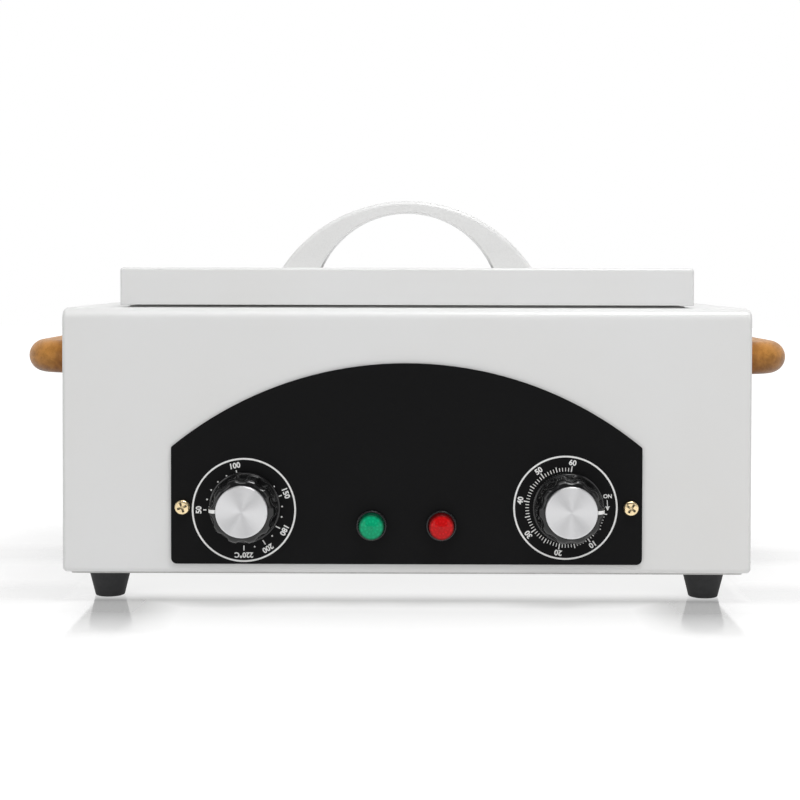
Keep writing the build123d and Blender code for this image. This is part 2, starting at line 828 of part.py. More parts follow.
# ---- thermostat bulb and its capillary -----------------------------------------------


def thermostat_capillary():
    """The sensing bulb under the chamber's front edge, and the thin tube that joins it to its control."""
    bulb_d = lid_middle - chamber_depth / 2 + sensor_wall_inset
    bulb_z = chamber_base - seat_gap - sensor_radius
    start = thermostat_x + capillary_exit
    exit_d = sheet + thermostat_depth - capillary_exit
    exit_z = control_z + thermostat_height / 2
    bulb_start = start + capillary_run
    route = FilletPolyline((start, front_y + exit_d, exit_z), (start, front_y + exit_d, bulb_z),
                           (start, front_y + bulb_d, bulb_z), (bulb_start, front_y + bulb_d, bulb_z),
                           radius=capillary_bend)
    section = up(start, exit_d, exit_z) * Circle(capillary_radius)
    tube = sweep(section, path=route)
    bulb = sideways(1, bulb_start, bulb_d, bulb_z) * rod(sensor_radius, -weld, sensor_length)
    return tube + bulb


# ---- power inlet, terminals and wiring -----------------------------------------------


def inlet_place():
    """Local Z = 0 is the housing's rear face, +Z out of it."""
    return rearward(inlet_side, body_depth, base_z + inlet_height)


def pin_places():
    """Live and neutral low, earth above between them."""
    side = inlet_neutral_offset
    return [(-side, inlet_pin_low), (side, inlet_pin_low), (0, inlet_earth_rise)]


def power_inlet():
    outline = RectangleRounded(inlet_flange_width, inlet_flange_height, inlet_flange_radius)
    flange = extrude(outline, inlet_flange_thickness)
    depth = inlet_body_depth
    case = Location((0, 0, -depth)) * Box(inlet_body_width, inlet_body_height, depth, align=LOW)
    inlet = flange + case
    top = inlet_flange_thickness
    hollow = Box(socket_width, socket_height, socket_depth + 1, align=LOW)
    inlet = inlet - Location((0, 0, top - socket_depth)) * hollow
    for x, y in pin_places():
        slot = Box(inlet_pin_width, inlet_pin_height, 2 * depth)
        inlet = inlet - Location((x, y, -depth)) * slot
    for x in (-inlet_screw_place, inlet_screw_place):
        seat = countersink(inlet_screw_head, inlet_screw_shank + hole_gap, 2 * inlet_flange_thickness)
        inlet = inlet - Location((x, 0, top)) * seat
    return inlet_place() * inlet


def inlet_pins():
    pins = []
    low = -inlet_body_depth - spade_length
    high = inlet_flange_thickness - socket_depth + inlet_pin_reach
    for x, y in pin_places():
        pin = Box(inlet_pin_width, inlet_pin_height, high - low, align=LOW)
        pins.append(inlet_place() * Location((x, y, low)) * pin)
    return pins


def inlet_screws():
    place = inlet_place() * Location((0, 0, inlet_flange_thickness))
    screw = flat_screw(inlet_screw_head, inlet_screw_shank, inlet_screw_length)
    return [place * Location((x, 0, 0)) * screw for x in (-inlet_screw_place, inlet_screw_place)]


def terminal_offsets():
    pitch = terminal_width / terminal_ways
    return [pitch * (index - (terminal_ways - 1) / 2) for index in range(terminal_ways)]


def terminal_block():
    """A moulded block on the base plate, with a well for each screw."""
    low = base_z
    body = slab(terminal_width, terminal_depth, terminal_place, low, low + terminal_height)
    body = fillet(body.edges().filter_by(Axis.Z), terminal_corner_radius)
    for x in terminal_offsets():
        for y in (-terminal_row, terminal_row):
            bottom = terminal_height - terminal_well_depth
            well = rod(terminal_screw_radius + seat_gap, bottom, terminal_height + 1)
            body = body - up(x, terminal_place + y, low) * well
    return body


def terminal_screws():
    screws = []
    screw = pan_screw(terminal_screw_radius, terminal_screw_head_height, terminal_screw_shank,
                      terminal_screw_length)
    for x in terminal_offsets():
        for y in (-terminal_row, terminal_row):
            seat = base_z + terminal_height - terminal_well_depth + terminal_screw_length
            screws.append(up(x, terminal_place + y, seat) * screw)
    return screws


def wire(*points):
    """An insulated wire along straight runs joined by arcs, from (x, depth, z) points."""
    places = [Vector(x, front_y + depth, z) for x, depth, z in points]
    route = FilletPolyline(*places, radius=wire_bend)
    section = Plane(places[0], z_dir=places[1] - places[0]).location * Circle(wire_radius)
    return sweep(section, path=route)


def wiring():
    """Nine leads between the inlet, the terminal block, the controls, the lamps and the heater."""
    block_z = base_z + terminal_height / 2
    rear = terminal_place + terminal_depth / 2
    front = terminal_place - terminal_depth / 2
    spade_d = body_depth - inlet_body_depth - spade_length
    live_x = inlet_side - inlet_neutral_offset
    neutral_x = inlet_side + inlet_neutral_offset
    pin_z = base_z + inlet_height + inlet_pin_low
    timer_back = sheet + timer_depth
    thermostat_back = sheet + thermostat_depth
    lamp_back = lamp_body_length - panel_thickness
    lead_x = pan_width / 2 + heater_lead_length
    side_x = lead_x + terminal_lead_step
    half = terminal_width / 2
    near_leg = lid_middle - heater_leg_spacing / 2
    far_leg = lid_middle + heater_leg_spacing / 2
    lamp_x = lamp_spacing / 2
    runs = [
        ((live_x, spade_d, pin_z), (live_x, spade_d - 14, pin_z), (-6, spade_d - 14, block_z),
         (-6, rear, block_z)),
        ((neutral_x, spade_d, pin_z), (neutral_x, spade_d - 22, pin_z), (6, spade_d - 22, block_z),
         (6, rear, block_z)),
        ((18, front, block_z), (18, front - 18, block_z), (timer_x + 8, timer_back + 24, control_z),
         (timer_x + 8, timer_back, control_z)),
        ((timer_x - 8, timer_back, control_z + 11), (timer_x - 8, timer_back + 9, control_z + 11),
         (thermostat_x + 8, timer_back + 9, control_z + 7),
         (thermostat_x + 8, thermostat_back, control_z + 7)),
        ((thermostat_x - 8, thermostat_back, control_z - 5),
         (thermostat_x - 8, thermostat_back + 28, control_z - 5),
         (-18, front - 14, block_z), (-18, front, block_z)),
        ((lamp_x, lamp_back, lamp_z), (lamp_x, lamp_back + 18, lamp_z), (6, front - 18, block_z),
         (6, front, block_z)),
        ((-lamp_x, lamp_back, lamp_z), (-lamp_x, lamp_back + 18, lamp_z), (-6, front - 18, block_z),
         (-6, front, block_z)),
        ((lead_x, near_leg, heater_z), (side_x, near_leg, heater_z), (side_x, near_leg, control_z - 6),
         (half + 30, terminal_place - 4, block_z), (half, terminal_place - 4, block_z)),
        ((lead_x, far_leg, heater_z), (side_x, far_leg, heater_z), (side_x, far_leg, control_z - 6),
         (half + 30, terminal_place + 4, block_z), (half, terminal_place + 4, block_z)),
    ]
    return [wire(*run) for run in runs]


# ---- side handles --------------------------------------------------------------------


def handle_leg_places():
    middle = body_depth / 2
    return (middle - side_handle_span / 2, middle + side_handle_span / 2)


def side_handle(side):
    """A round bar bent to a bridge, its two ends on the housing's side wall."""
    wall = side * body_width / 2
    out = side * (body_width / 2 + side_handle_reach - side_handle_radius)
    near, far = (front_y + place for place in handle_leg_places())
    route = FilletPolyline((wall, near, handle_z), (out, near, handle_z), (out, far, handle_z),
                           (wall, far, handle_z), radius=side_handle_bend)
    section = Plane((wall, near, handle_z), z_dir=(side, 0, 0)).location * Circle(side_handle_radius)
    handle = sweep(section, path=route)
    for place in handle_leg_places():
        bore = rod(handle_screw_shank, -1, handle_screw_length - sheet)
        handle = handle - sideways(side, wall, place, handle_z) * bore
    return handle


def side_handle_screws():
    screws = []
    screw = pan_screw(handle_screw_head, handle_screw_head_height, handle_screw_shank,
                      handle_screw_length - sheet)
    for side in (-1, 1):
        for place in handle_leg_places():
            screws.append(sideways(-side, side * (body_width / 2 - sheet), place, handle_z) * screw)
    return screws


# ---- hinges --------------------------------------------------------------------------


def hinge_centres():
    return (-hinge_spacing / 2, hinge_spacing / 2)


def hinge_screw_places():
    """The lower leaves' screws, in the housing's top behind the lid."""
    depth = hinge_depth + hinge_base_length / 2 + hinge_base_row
    return [(x + side * hinge_screw_pitch / 2, depth) for x in hinge_centres() for side in (-1, 1)]


def leaf_screw_height():
    return lid_bottom + hinge_leaf_height / 2 + hinge_leaf_row


def knuckle(x_low, x_high):
    low = sideways(1, x_low, hinge_depth, hinge_z)
    return low * ring(hinge_knuckle_radius, hinge_pin_radius + running_gap, 0, x_high - x_low)


def hinge_bases():
    """The lower leaves: a plate on the housing's top with two outer knuckles."""
    bases = []
    third = hinge_width / 3
    for x in hinge_centres():
        left = x - hinge_width / 2
        plate = block(left, left + hinge_width, hinge_depth, hinge_depth + hinge_base_length,
                      top_z, top_z + hinge_leaf)
        room = sideways(1, left + third - hinge_side_gap, hinge_depth, hinge_z)
        plate = plate - room * rod(hinge_knuckle_radius + seat_gap, 0, third + 2 * hinge_side_gap)
        outer = rod(hinge_knuckle_radius, 0, hinge_width)
        plate = plate - sideways(1, left, hinge_depth, hinge_z) * outer
        base = plate + knuckle(left, left + third - hinge_side_gap)
        base = base + knuckle(left + 2 * third + hinge_side_gap, left + hinge_width)
        web_d = hinge_depth + hinge_knuckle_radius
        web_start = hinge_depth + hinge_pin_radius + hinge_web_clearance
        for web_left in (left, left + 2 * third + hinge_side_gap):
            web_right = web_left + third - hinge_side_gap
            base = base + block(web_left, web_right, web_start, web_d + weld, top_z, hinge_z)
        for place, depth in hinge_screw_places():
            if abs(place - x) < hinge_width / 2:
                seat = countersink(hinge_screw_head, hinge_screw_shank + hole_gap, hinge_seat_depth)
                base = base - up(place, depth, top_z + hinge_leaf) * seat
        bases.append(base)
    return bases


def hinge_leaves():
    """The upper leaves: a plate on the lid's rear face with one middle knuckle."""
    leaves = []
    third = hinge_width / 3
    face = hinge_depth - hinge_axis_gap
    for x in hinge_centres():
        left = x - hinge_width / 2
        plate = block(left, left + hinge_width, face, face + hinge_leaf,
                      lid_bottom + hinge_leaf_drop, lid_bottom + hinge_leaf_drop + hinge_leaf_height)
        arm = block(left + third, left + 2 * third, face, hinge_depth - hinge_pin_radius - weld,
                    hinge_z - hinge_leaf / 2, hinge_z + hinge_leaf / 2)
        leaf = plate + arm + knuckle(left + third, left + 2 * third)
        for side in (-1, 1):
            seat = countersink(hinge_screw_head, hinge_screw_shank + hole_gap, hinge_seat_depth)
            place = rearward(x + side * hinge_screw_pitch / 2, face + hinge_leaf, leaf_screw_height())
            leaf = leaf - place * seat
        leaves.append(leaf)
    return leaves


def hinge_pins():
    pins = []
    for x in hinge_centres():
        left = x - hinge_width / 2
        pin = rod(hinge_pin_radius, 0, hinge_width)
        head = rod(hinge_pin_radius + hinge_pin_head, -hinge_pin_head_height, 0)
        pins.append(sideways(1, left, hinge_depth, hinge_z) * (pin + head))
    return pins


def hinge_base_screws():
    screw = flat_screw(hinge_screw_head, hinge_screw_shank, hinge_screw_length)
    return [up(x, depth, top_z + hinge_leaf) * screw for x, depth in hinge_screw_places()]


def hinge_leaf_screws():
    screws = []
    depth = hinge_depth - hinge_axis_gap + hinge_leaf
    for x in hinge_centres():
        for side in (-1, 1):
            screw = flat_screw(hinge_screw_head, hinge_screw_shank, hinge_screw_length)
            screws.append(rearward(x + side * hinge_screw_pitch / 2, depth, leaf_screw_height()) * screw)
    return screws


# ---- lid -----------------------------------------------------------------------------


def liner_bottom():
    return lid_bottom + liner_rise


def lid_screw_places():
    """Under the middle of each foot of the handle."""
    x = (lid_handle_chord + lid_handle_inner_chord) / 4
    return (-x, x)


def liner_screw_places():
    inner_x = lid_width / 2 - lid_sheet
    inner_y = lid_depth / 2 - lid_sheet
    return corners(inner_x - liner_screw_inset, inner_y - liner_screw_inset)


def lid_shell():
    outer = slab(lid_width, lid_depth, lid_middle, lid_bottom, lid_top)
    outer = fillet(outer.edges().filter_by(Axis.Z), lid_corner_radius)
    outer = fillet(outer.faces().sort_by(Axis.Z)[-1].edges(), lid_top_radius)
    inner = slab(lid_width - 2 * lid_sheet, lid_depth - 2 * lid_sheet, lid_middle,
                 lid_bottom - 1, lid_top - lid_sheet)
    shell = outer - inner
    tab_low = liner_bottom() + liner_thickness
    half_x = lid_width / 2 - lid_sheet / 2
    half_y = lid_depth / 2 - lid_sheet / 2
    for x, y in corners(half_x - lid_tab / 2, half_y - lid_tab / 2):
        tab = Box(lid_tab, lid_tab, lid_sheet, align=LOW)
        shell = shell + up(x, lid_middle + y, tab_low) * tab
    for x, y in liner_screw_places():
        shell = shell - up(x, lid_middle + y, tab_low) * rod(liner_screw_shank, -1, 2 * lid_sheet)
    for x in lid_screw_places():
        shell = shell - up(x, lid_middle, lid_top) * rod(lid_screw_shank + hole_gap, -2 * lid_sheet, 1)
    rear = hinge_depth - hinge_axis_gap
    for x in hinge_centres():
        for side in (-1, 1):
            place = rearward(x + side * hinge_screw_pitch / 2, rear, leaf_screw_height())
            shell = shell - place * rod(hinge_screw_shank, -2 * lid_sheet, 1)
    return shell


def lid_liner():
    """An inner sheet with a shallow plug pressed down into the chamber's mouth."""
    low = liner_bottom()
    high = low + liner_thickness
    plate = slab(lid_width - 2 * lid_sheet - 2 * hole_gap, lid_depth - 2 * lid_sheet - 2 * hole_gap,
                 lid_middle, low, high)
    plug_w = chamber_width - 2 * plug_gap
    plug_d = chamber_depth - 2 * plug_gap
    plate = plate + slab(plug_w, plug_d, lid_middle, low - plug_drop, high)
    plate = plate - slab(plug_w - 2 * liner_thickness, plug_d - 2 * liner_thickness, lid_middle,
                         low - plug_drop + liner_thickness, high + 1)
    for x, y in liner_screw_places():
        plate = plate - up(x, lid_middle + y, low) * rod(liner_screw_shank + hole_gap, -1, 2)
    return plate


def lid_liner_screws():
    screw = pan_screw(liner_screw_head, liner_rise - seat_gap, liner_screw_shank, liner_screw_length)
    return [down(x, lid_middle + y, liner_bottom()) * screw for x, y in liner_screw_places()]


def lid_gasket():
    """A square-section ring under the liner, just clear of the chamber's flange."""
    high = liner_bottom()
    low = flange_top + seat_gap
    inner_w = chamber_width + 2 * gasket_inset
    inner_d = chamber_depth + 2 * gasket_inset
    seal = slab(inner_w + 2 * gasket_width, inner_d + 2 * gasket_width, lid_middle, low, high)
    seal = fillet(seal.edges().filter_by(Axis.Z), gasket_corner_radius)
    hole = slab(inner_w, inner_d, lid_middle, low - 1, high + 1)
    hole = fillet(hole.edges().filter_by(Axis.Z), gasket_corner_radius - gasket_width)
    return seal - hole


def lid_insulation():
    low = liner_bottom() + liner_thickness + insulation_gap
    high = lid_top - lid_sheet - insulation_gap
    clear = lid_sheet + hinge_screw_length
    mat = slab(lid_width - 2 * clear, lid_depth - 2 * clear, lid_middle, low, high)
    for x, y in corners(lid_width / 2, lid_depth / 2):
        cut = lid_tab + 2 * lid_sheet
        mat = mat - up(x, lid_middle + y, low - 1) * Box(2 * cut, 2 * cut, lid_height, align=LOW)
    for x in lid_screw_places():
        pocket = rod(screw_pocket, -lid_screw_head_height - lid_screw_clearance, 1)
        mat = mat - up(x, lid_middle, high) * pocket
    return mat


def lid_handle():
    """An arch with thick feet and a thin crown, softened along its outer edges."""
    half = lid_handle_chord / 2
    inner = lid_handle_inner_chord / 2
    outer_arc = ThreePointArc((-half, 0), (0, lid_handle_height), (half, 0))
    inner_arc = ThreePointArc((inner, 0), (0, lid_handle_inner_height), (-inner, 0))
    outline = make_face(outer_arc + Line((half, 0), (inner, 0)) + inner_arc + Line((-inner, 0), (-half, 0)))
    arch = extrude(outline, lid_handle_width / 2, both=True)
    arch = forward(0, lid_middle, lid_top) * arch
    curved = arch.faces().filter_by(GeomType.CYLINDER).sort_by(SortBy.AREA)
    crown = curved[-1].edges().filter_by(GeomType.CIRCLE)
    arch = fillet(crown, lid_handle_edge_radius)
    for x in lid_screw_places():
        arch = arch - up(x, lid_middle, lid_top) * rod(lid_screw_shank, -1, lid_screw_length - lid_sheet)
    return arch


def lid_handle_screws():
    place_z = lid_top - lid_sheet
    length = lid_screw_length - 2 * lid_sheet
    screw = pan_screw(lid_screw_head, lid_screw_head_height, lid_screw_shank, length)
    return [down(x, lid_middle, place_z) * screw for x in lid_screw_places()]


# ---- build ---------------------------------------------------------------------------
def build():
    os.makedirs("parts", exist_ok=True)
    save("housing_shell", housing_shell())
    save("base_plate", base_plate())
    save("feet", *[up(x, d, foot_height) * foot() for x, d in foot_places()])
    save("foot_screws", *[down(x, d, foot_height - foot_web) * foot_screw() for x, d in foot_places()])
    nut = hex_nut(foot_nut_width, foot_nut_height, foot_screw_shank)
    save("foot_nuts", *[up(x, d, base_z) * nut for x, d in foot_places()])
    base_screw = pan_screw(base_screw_head, base_screw_head_height, base_screw_shank, base_screw_length)
    save("base_screws", *[down(x, d, foot_height) * base_screw for x, d in base_screw_places()])
    save("control_panel", control_panel())
    save("panel_screws", *panel_screws())
    save("inner_chamber", inner_chamber())
    save("heater_pan", heater_pan())
    pan_nut = hex_nut(pan_nut_width, pan_nut_height, pan_stud_radius)
    nut_z = chamber_base - chamber_wall
    save("pan_nuts", *[down(x, lid_middle + y, nut_z) * pan_nut for x, y in pan_stud_places()])
    save("heating_element", heating_element())
    save("heater_clips", *heater_clips())
    save("side_insulation", side_insulation())
    save("floor_insulation", floor_insulation())
    save("tray", tray())
    save("tray_handles", *tray_handles())
    save("thermostat_capillary", thermostat_capillary())
    thermostat = control_body(thermostat_width, thermostat_height, thermostat_depth)
    save("thermostat_body", knob_place(thermostat_x) * thermostat)
    timer = control_body(timer_width, timer_height, timer_depth)
    save("timer_body", knob_place(timer_x) * timer)
    save("control_nuts", *[knob_place(x) * control_nut() for x in (thermostat_x, timer_x)])
    dials = (("thermostat", thermostat_x, 180, thermostat_depth), ("timer", timer_x, 0, timer_depth))
    for name, x, angle, depth in dials:
        save(name + "_knob", knob_place(x) * knob_grip(angle))
        save(name + "_cap", knob_place(x) * knob_cap())
        save(name + "_pointer", knob_place(x) * knob_pointer(angle))
        save(name + "_shaft", knob_place(x) * control_shaft(depth))
    for name, x in (("green", -lamp_spacing / 2), ("red", lamp_spacing / 2)):
        save(name + "_lamp_lens", lamp_place(x) * lamp_lens())
        save(name + "_lamp_bezel", lamp_place(x) * lamp_bezel())
        save(name + "_lamp_body", lamp_place(x) * lamp_body())
    lamp_xs = (-lamp_spacing / 2, lamp_spacing / 2)
    lamp_nut = hex_nut(lamp_nut_width, lamp_nut_height, lamp_body_radius)
    save("lamp_nuts", *[rearward(x, sheet, lamp_z) * lamp_nut for x in lamp_xs])
    save("lamp_bulbs", *[lamp_place(x) * lamp_bulb() for x in lamp_xs])
    save("power_inlet", power_inlet())
    save("inlet_pins", *inlet_pins())
    save("inlet_screws", *inlet_screws())
    save("terminal_block", terminal_block())
    save("terminal_screws", *terminal_screws())
    save("wiring", *wiring())
    save("left_side_handle", side_handle(-1))
    save("right_side_handle", side_handle(1))
    save("side_handle_screws", *side_handle_screws())
    save("hinge_bases", *hinge_bases())
    save("hinge_base_screws", *hinge_base_screws())
    save("hinge_pins", *hinge_pins())
    save("hinge_leaves", *hinge_leaves())
    save("hinge_leaf_screws", *hinge_leaf_screws())
    save("lid_shell", lid_shell())
    save("lid_liner", lid_liner())
    save("lid_liner_screws", *lid_liner_screws())
    save("lid_gasket", lid_gasket())
    save("lid_insulation", lid_insulation())
    save("lid_handle", lid_handle())
    save("lid_handle_screws", *lid_handle_screws())


build()
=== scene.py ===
"""Looks for a bench-top dry heat sterilizer: paint, ink, knobs, lamps, wood and metal around its fixed frame.

Everything is in metres, +Z up, with the control panel facing -Y.
"""
import json
import math

import bmesh
import bpy
from mathutils import Matrix, Vector


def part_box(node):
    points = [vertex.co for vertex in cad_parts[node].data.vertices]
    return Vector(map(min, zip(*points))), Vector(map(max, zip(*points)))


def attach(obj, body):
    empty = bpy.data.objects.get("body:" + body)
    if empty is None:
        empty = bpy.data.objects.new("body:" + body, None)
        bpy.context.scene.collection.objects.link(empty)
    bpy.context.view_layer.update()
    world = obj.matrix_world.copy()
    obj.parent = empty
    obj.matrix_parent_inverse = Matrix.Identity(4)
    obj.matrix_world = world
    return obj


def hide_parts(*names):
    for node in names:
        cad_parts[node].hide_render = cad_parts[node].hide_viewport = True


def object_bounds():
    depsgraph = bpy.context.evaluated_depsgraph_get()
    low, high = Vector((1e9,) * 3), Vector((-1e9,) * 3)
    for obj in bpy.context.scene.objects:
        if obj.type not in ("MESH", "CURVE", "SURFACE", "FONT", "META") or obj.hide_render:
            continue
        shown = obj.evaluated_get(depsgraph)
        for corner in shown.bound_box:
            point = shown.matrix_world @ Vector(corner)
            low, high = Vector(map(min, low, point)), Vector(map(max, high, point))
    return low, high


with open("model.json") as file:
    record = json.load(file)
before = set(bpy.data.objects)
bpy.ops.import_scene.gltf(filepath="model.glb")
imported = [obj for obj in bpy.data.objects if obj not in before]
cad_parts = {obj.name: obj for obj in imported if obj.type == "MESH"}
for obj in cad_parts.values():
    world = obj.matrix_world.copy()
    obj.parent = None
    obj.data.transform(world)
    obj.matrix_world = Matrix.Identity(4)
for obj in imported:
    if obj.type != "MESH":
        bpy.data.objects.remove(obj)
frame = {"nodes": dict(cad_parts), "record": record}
CAD_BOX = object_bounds()

bl_info = {
    "name": "Dry Heat Sterilizer",
    "version": (1, 0, 0),
    "blender": (4, 5, 0),
    "location": "3D View > Sidebar > Sterilizer",
    "description": "Finishes the sterilizer's cabinet, controls, lamps, handles and metalwork",
    "category": "Object",
}

MM = 0.001


# ---- places taken from the frame ----
def centre_of(node):
    low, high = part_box(node)
    return (low + high) / 2


def panel_face():
    """The Y of the control panel's front."""
    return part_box("control_panel")[0].y


def body_of(node):
    for name, members in frame["record"]["behaviour"]["bodies"].items():
        if node in members:
            return name
    raise RuntimeError("no body holds " + node)


# ---- mesh tools ----
def mesh_object(name, verts, faces, smooth_angle=None):
    """A new mesh object from points and faces, with its normals outward."""
    mesh = bpy.data.meshes.new(name)
    mesh.from_pydata([tuple(v) for v in verts], [], faces)
    mesh.validate()
    bm = bmesh.new()
    bm.from_mesh(mesh)
    bmesh.ops.remove_doubles(bm, verts=bm.verts, dist=1e-7)
    bmesh.ops.recalc_face_normals(bm, faces=bm.faces)
    bm.to_mesh(mesh)
    bm.free()
    obj = bpy.data.objects.new(name, mesh)
    bpy.context.scene.collection.objects.link(obj)
    if smooth_angle is not None:
        smooth(obj, smooth_angle)
    return obj


def smooth(obj, degrees):
    """Smooth shading, with a crease wherever two faces meet at more than an angle."""
    mesh = obj.data
    for polygon in mesh.polygons:
        polygon.use_smooth = True
    bm = bmesh.new()
    bm.from_mesh(mesh)
    limit = math.radians(degrees)
    for edge in bm.edges:
        edge.smooth = len(edge.link_faces) == 2 and edge.calc_face_angle(0.0) < limit
    bm.to_mesh(mesh)
    bm.free()


def facing_front(x, y, z):
    """The matrix of a place whose local +Z points at the user, +X right and +Y up."""
    return Matrix.Translation((x, y, z)) @ Matrix.Rotation(math.radians(90), 4, "X")


def on_ring(angle, radius):
    """The matrix of a place on a ring, with local +X outward."""
    return Matrix.Rotation(math.radians(angle), 4, "Z") @ Matrix.Translation((radius, 0, 0))


def seat_of(node):
    """The matrix of a place behind a node's middle, whose local +Z points at the user."""
    middle = centre_of(node)
    return facing_front(middle.x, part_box(node)[1].y, middle.z)


def shell_from_rings(name, rings, matrix, smooth_angle):
    """A skin over equal rings of points, capped at both ends with a fan to each ring's middle."""
    verts = []
    faces = []
    count = len(rings[0])
    for points in rings:
        verts.extend(matrix @ Vector(p) for p in points)
    for row in range(len(rings) - 1):
        for i in range(count):
            j = (i + 1) % count
            faces.append((row * count + i, row * count + j, (row + 1) * count + j, (row + 1) * count + i))
    for row in (0, len(rings) - 1):
        middle = sum((Vector(p) for p in rings[row]), Vector()) / count
        verts.append(matrix @ middle)
        hub = len(verts) - 1
        for i in range(count):
            faces.append((hub, row * count + i, row * count + (i + 1) % count))
    return mesh_object(name, verts, faces, smooth_angle)


def arc_points(cx, cy, radius, start, end, count):
    """Points on an arc, with angles in degrees."""
    points = []
    for i in range(count + 1):
        angle = math.radians(start + (end - start) * i / count)
        points.append((cx + radius * math.cos(angle), cy + radius * math.sin(angle)))
    return points


# ---- material tools ----
class Nodes:
    """A node tree being wired, with short names for its common nodes."""

    def __init__(self, tree):
        self.tree = tree

    def node(self, kind, **settings):
        node = self.tree.nodes.new("ShaderNode" + kind)
        for label, value in settings.items():
            if hasattr(node, label):
                setattr(node, label, value)
            else:
                node.inputs[label.replace("_", " ")].default_value = value
        return node

    def link(self, source, target):
        self.tree.links.new(source, target)

    def feed(self, node, *values):
        """Sets or links a node's first inputs."""
        for slot, value in enumerate(values):
            if isinstance(value, bpy.types.NodeSocket):
                self.link(value, node.inputs[slot])
            else:
                node.inputs[slot].default_value = value
        return node.outputs

    def span(self, value, low, high, to_low, to_high):
        """One range of numbers mapped to another."""
        ranger = self.node("MapRange", From_Min=low, From_Max=high, To_Min=to_low, To_Max=to_high)
        return self.feed(ranger, value)["Result"]

    def math(self, operation, first, second=0.0):
        return self.feed(self.node("Math", operation=operation), first, second)["Value"]

    def vector(self, operation, *values):
        return self.feed(self.node("VectorMath", operation=operation), *values)["Vector"]

    def length(self, value):
        return self.feed(self.node("VectorMath", operation="LENGTH"), value)["Value"]

    def split(self, value):
        """The X, Y and Z of a vector."""
        return self.feed(self.node("SeparateXYZ"), value)


class Shader(Nodes):
    """A principled material being wired."""

    def __init__(self, name, color, roughness, metallic=0.0, **sockets):
        self.material = bpy.data.materials.new(name)
        self.material.use_nodes = True
        super().__init__(self.material.node_tree)
        self.bsdf = self.tree.nodes["Principled BSDF"]
        self.bsdf.inputs["Base Color"].default_value = (*color, 1.0)
        self.bsdf.inputs["Roughness"].default_value = roughness
        self.bsdf.inputs["Metallic"].default_value = metallic
        for label, value in sockets.items():
            self.bsdf.inputs[label.replace("_", " ")].default_value = value
        self.position = self.node("NewGeometry").outputs["Position"]

    def object_place(self):
        return self.node("TexCoord").outputs["Object"]

    def object_space(self, scale=(1, 1, 1)):
        """Coordinates fixed to the object, stretched."""
        return self.feed(self.node("Mapping", Scale=scale), self.object_place())["Vector"]

    def noise(self, scale, detail=4.0, roughness=0.5, distortion=0.0, stretch=(1, 1, 1)):
        """Noise fixed to the object."""
        noise = self.node("TexNoise", Scale=scale, Detail=detail, Roughness=roughness, Distortion=distortion)
        return self.feed(noise, self.object_space(stretch))["Fac"]

    def ramp(self, value, *stops):
        """A colour ramp from (place, colour) stops; a plain number is a grey."""
        ramp = self.node("ValToRGB")
        elements = ramp.color_ramp.elements
        while len(elements) < len(stops):
            elements.new(0.5)
        for element, (place, color) in zip(elements, stops):
            element.position = place
            if isinstance(color, (int, float)):
                color = (color, color, color)
            element.color = (*color, 1.0)
        self.link(value, ramp.inputs["Fac"])
        return ramp.outputs["Color"]

    def mix_color(self, factor, first, second, blend="MIX"):
        node = self.node("Mix", data_type="RGBA", blend_type=blend)
        for slot, value in ((0, factor), (6, first), (7, second)):
            if isinstance(value, bpy.types.NodeSocket):
                self.link(value, node.inputs[slot])
            else:
                node.inputs[slot].default_value = (*value, 1.0) if isinstance(value, tuple) else value
        return node.outputs[2]

    def color(self, output):
        self.link(output, self.bsdf.inputs["Base Color"])

    def tone(self, value, low, high, amount, first, second):
        """Base colour that goes from one to another by a pattern."""
        self.color(self.mix_color(self.span(value, low, high, 0.0, amount), first, second))

    def roughness(self, *pattern):
        self.link(self.span(*pattern), self.bsdf.inputs["Roughness"])

    def bump(self, height, distance, strength=1.0, edge=0.0):
        """Bump from a height, over an optional softened edge, in metres."""
        bump = self.node("Bump", Strength=strength, Distance=distance)
        self.link(height, bump.inputs["Height"])
        if edge:
            self.link(self.soft_edge(edge), bump.inputs["Normal"])
        self.link(bump.outputs["Normal"], self.bsdf.inputs["Normal"])
        return bump

    def soft_edge(self, radius):
        return self.node("Bevel", Radius=radius, samples=6).outputs["Normal"]


def toned(tint, gain, lift=0.0):
    """A tint made darker or lighter."""
    return tuple(c * gain + lift for c in tint)


def between(first, second, share):
    """A tint part of the way to another."""
    return tuple(a * (1 - share) + b * share for a, b in zip(first, second))


def screw_metal(name, tint, roughness):
    """Plated screws, with painted shade darkening them down in their recesses, taken from an occlusion mask.
    """
    s = Shader(name, tint, roughness, 1.0)
    # Painted shade: an ambient occlusion mask blends the colour towards a near-black tint in the recesses.
    shade = s.node("AmbientOcclusion", samples=8, Distance=0.0016)
    hollow = s.span(shade.outputs["AO"], 0.35, 0.95, 0.0, 1.0)
    dark = toned(tint, 0.12)
    cloud = s.noise(260.0, 3.0, 0.5)
    worn = s.mix_color(s.span(cloud, 0.35, 0.7, 0.0, 0.5), tint, toned(tint, 0.75))
    s.color(s.mix_color(hollow, dark, worn))
    s.roughness(cloud, 0.3, 0.7, roughness - 0.05, roughness + 0.1)
    s.bump(s.noise(1300.0, 3.0, 0.6), 0.000008, 0.4, edge=0.00025)
    return s.material


def give(material, *nodes):
    """The new finish of CAD nodes."""
    for node in nodes:
        wear(frame["nodes"][node], material)


def wear(obj, material):
    obj.data.materials.clear()
    obj.data.materials.append(material)


def dress(obj, material, body):
    """A new piece's finish, slot and body."""
    wear(obj, material)
    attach(obj, body)
    return obj


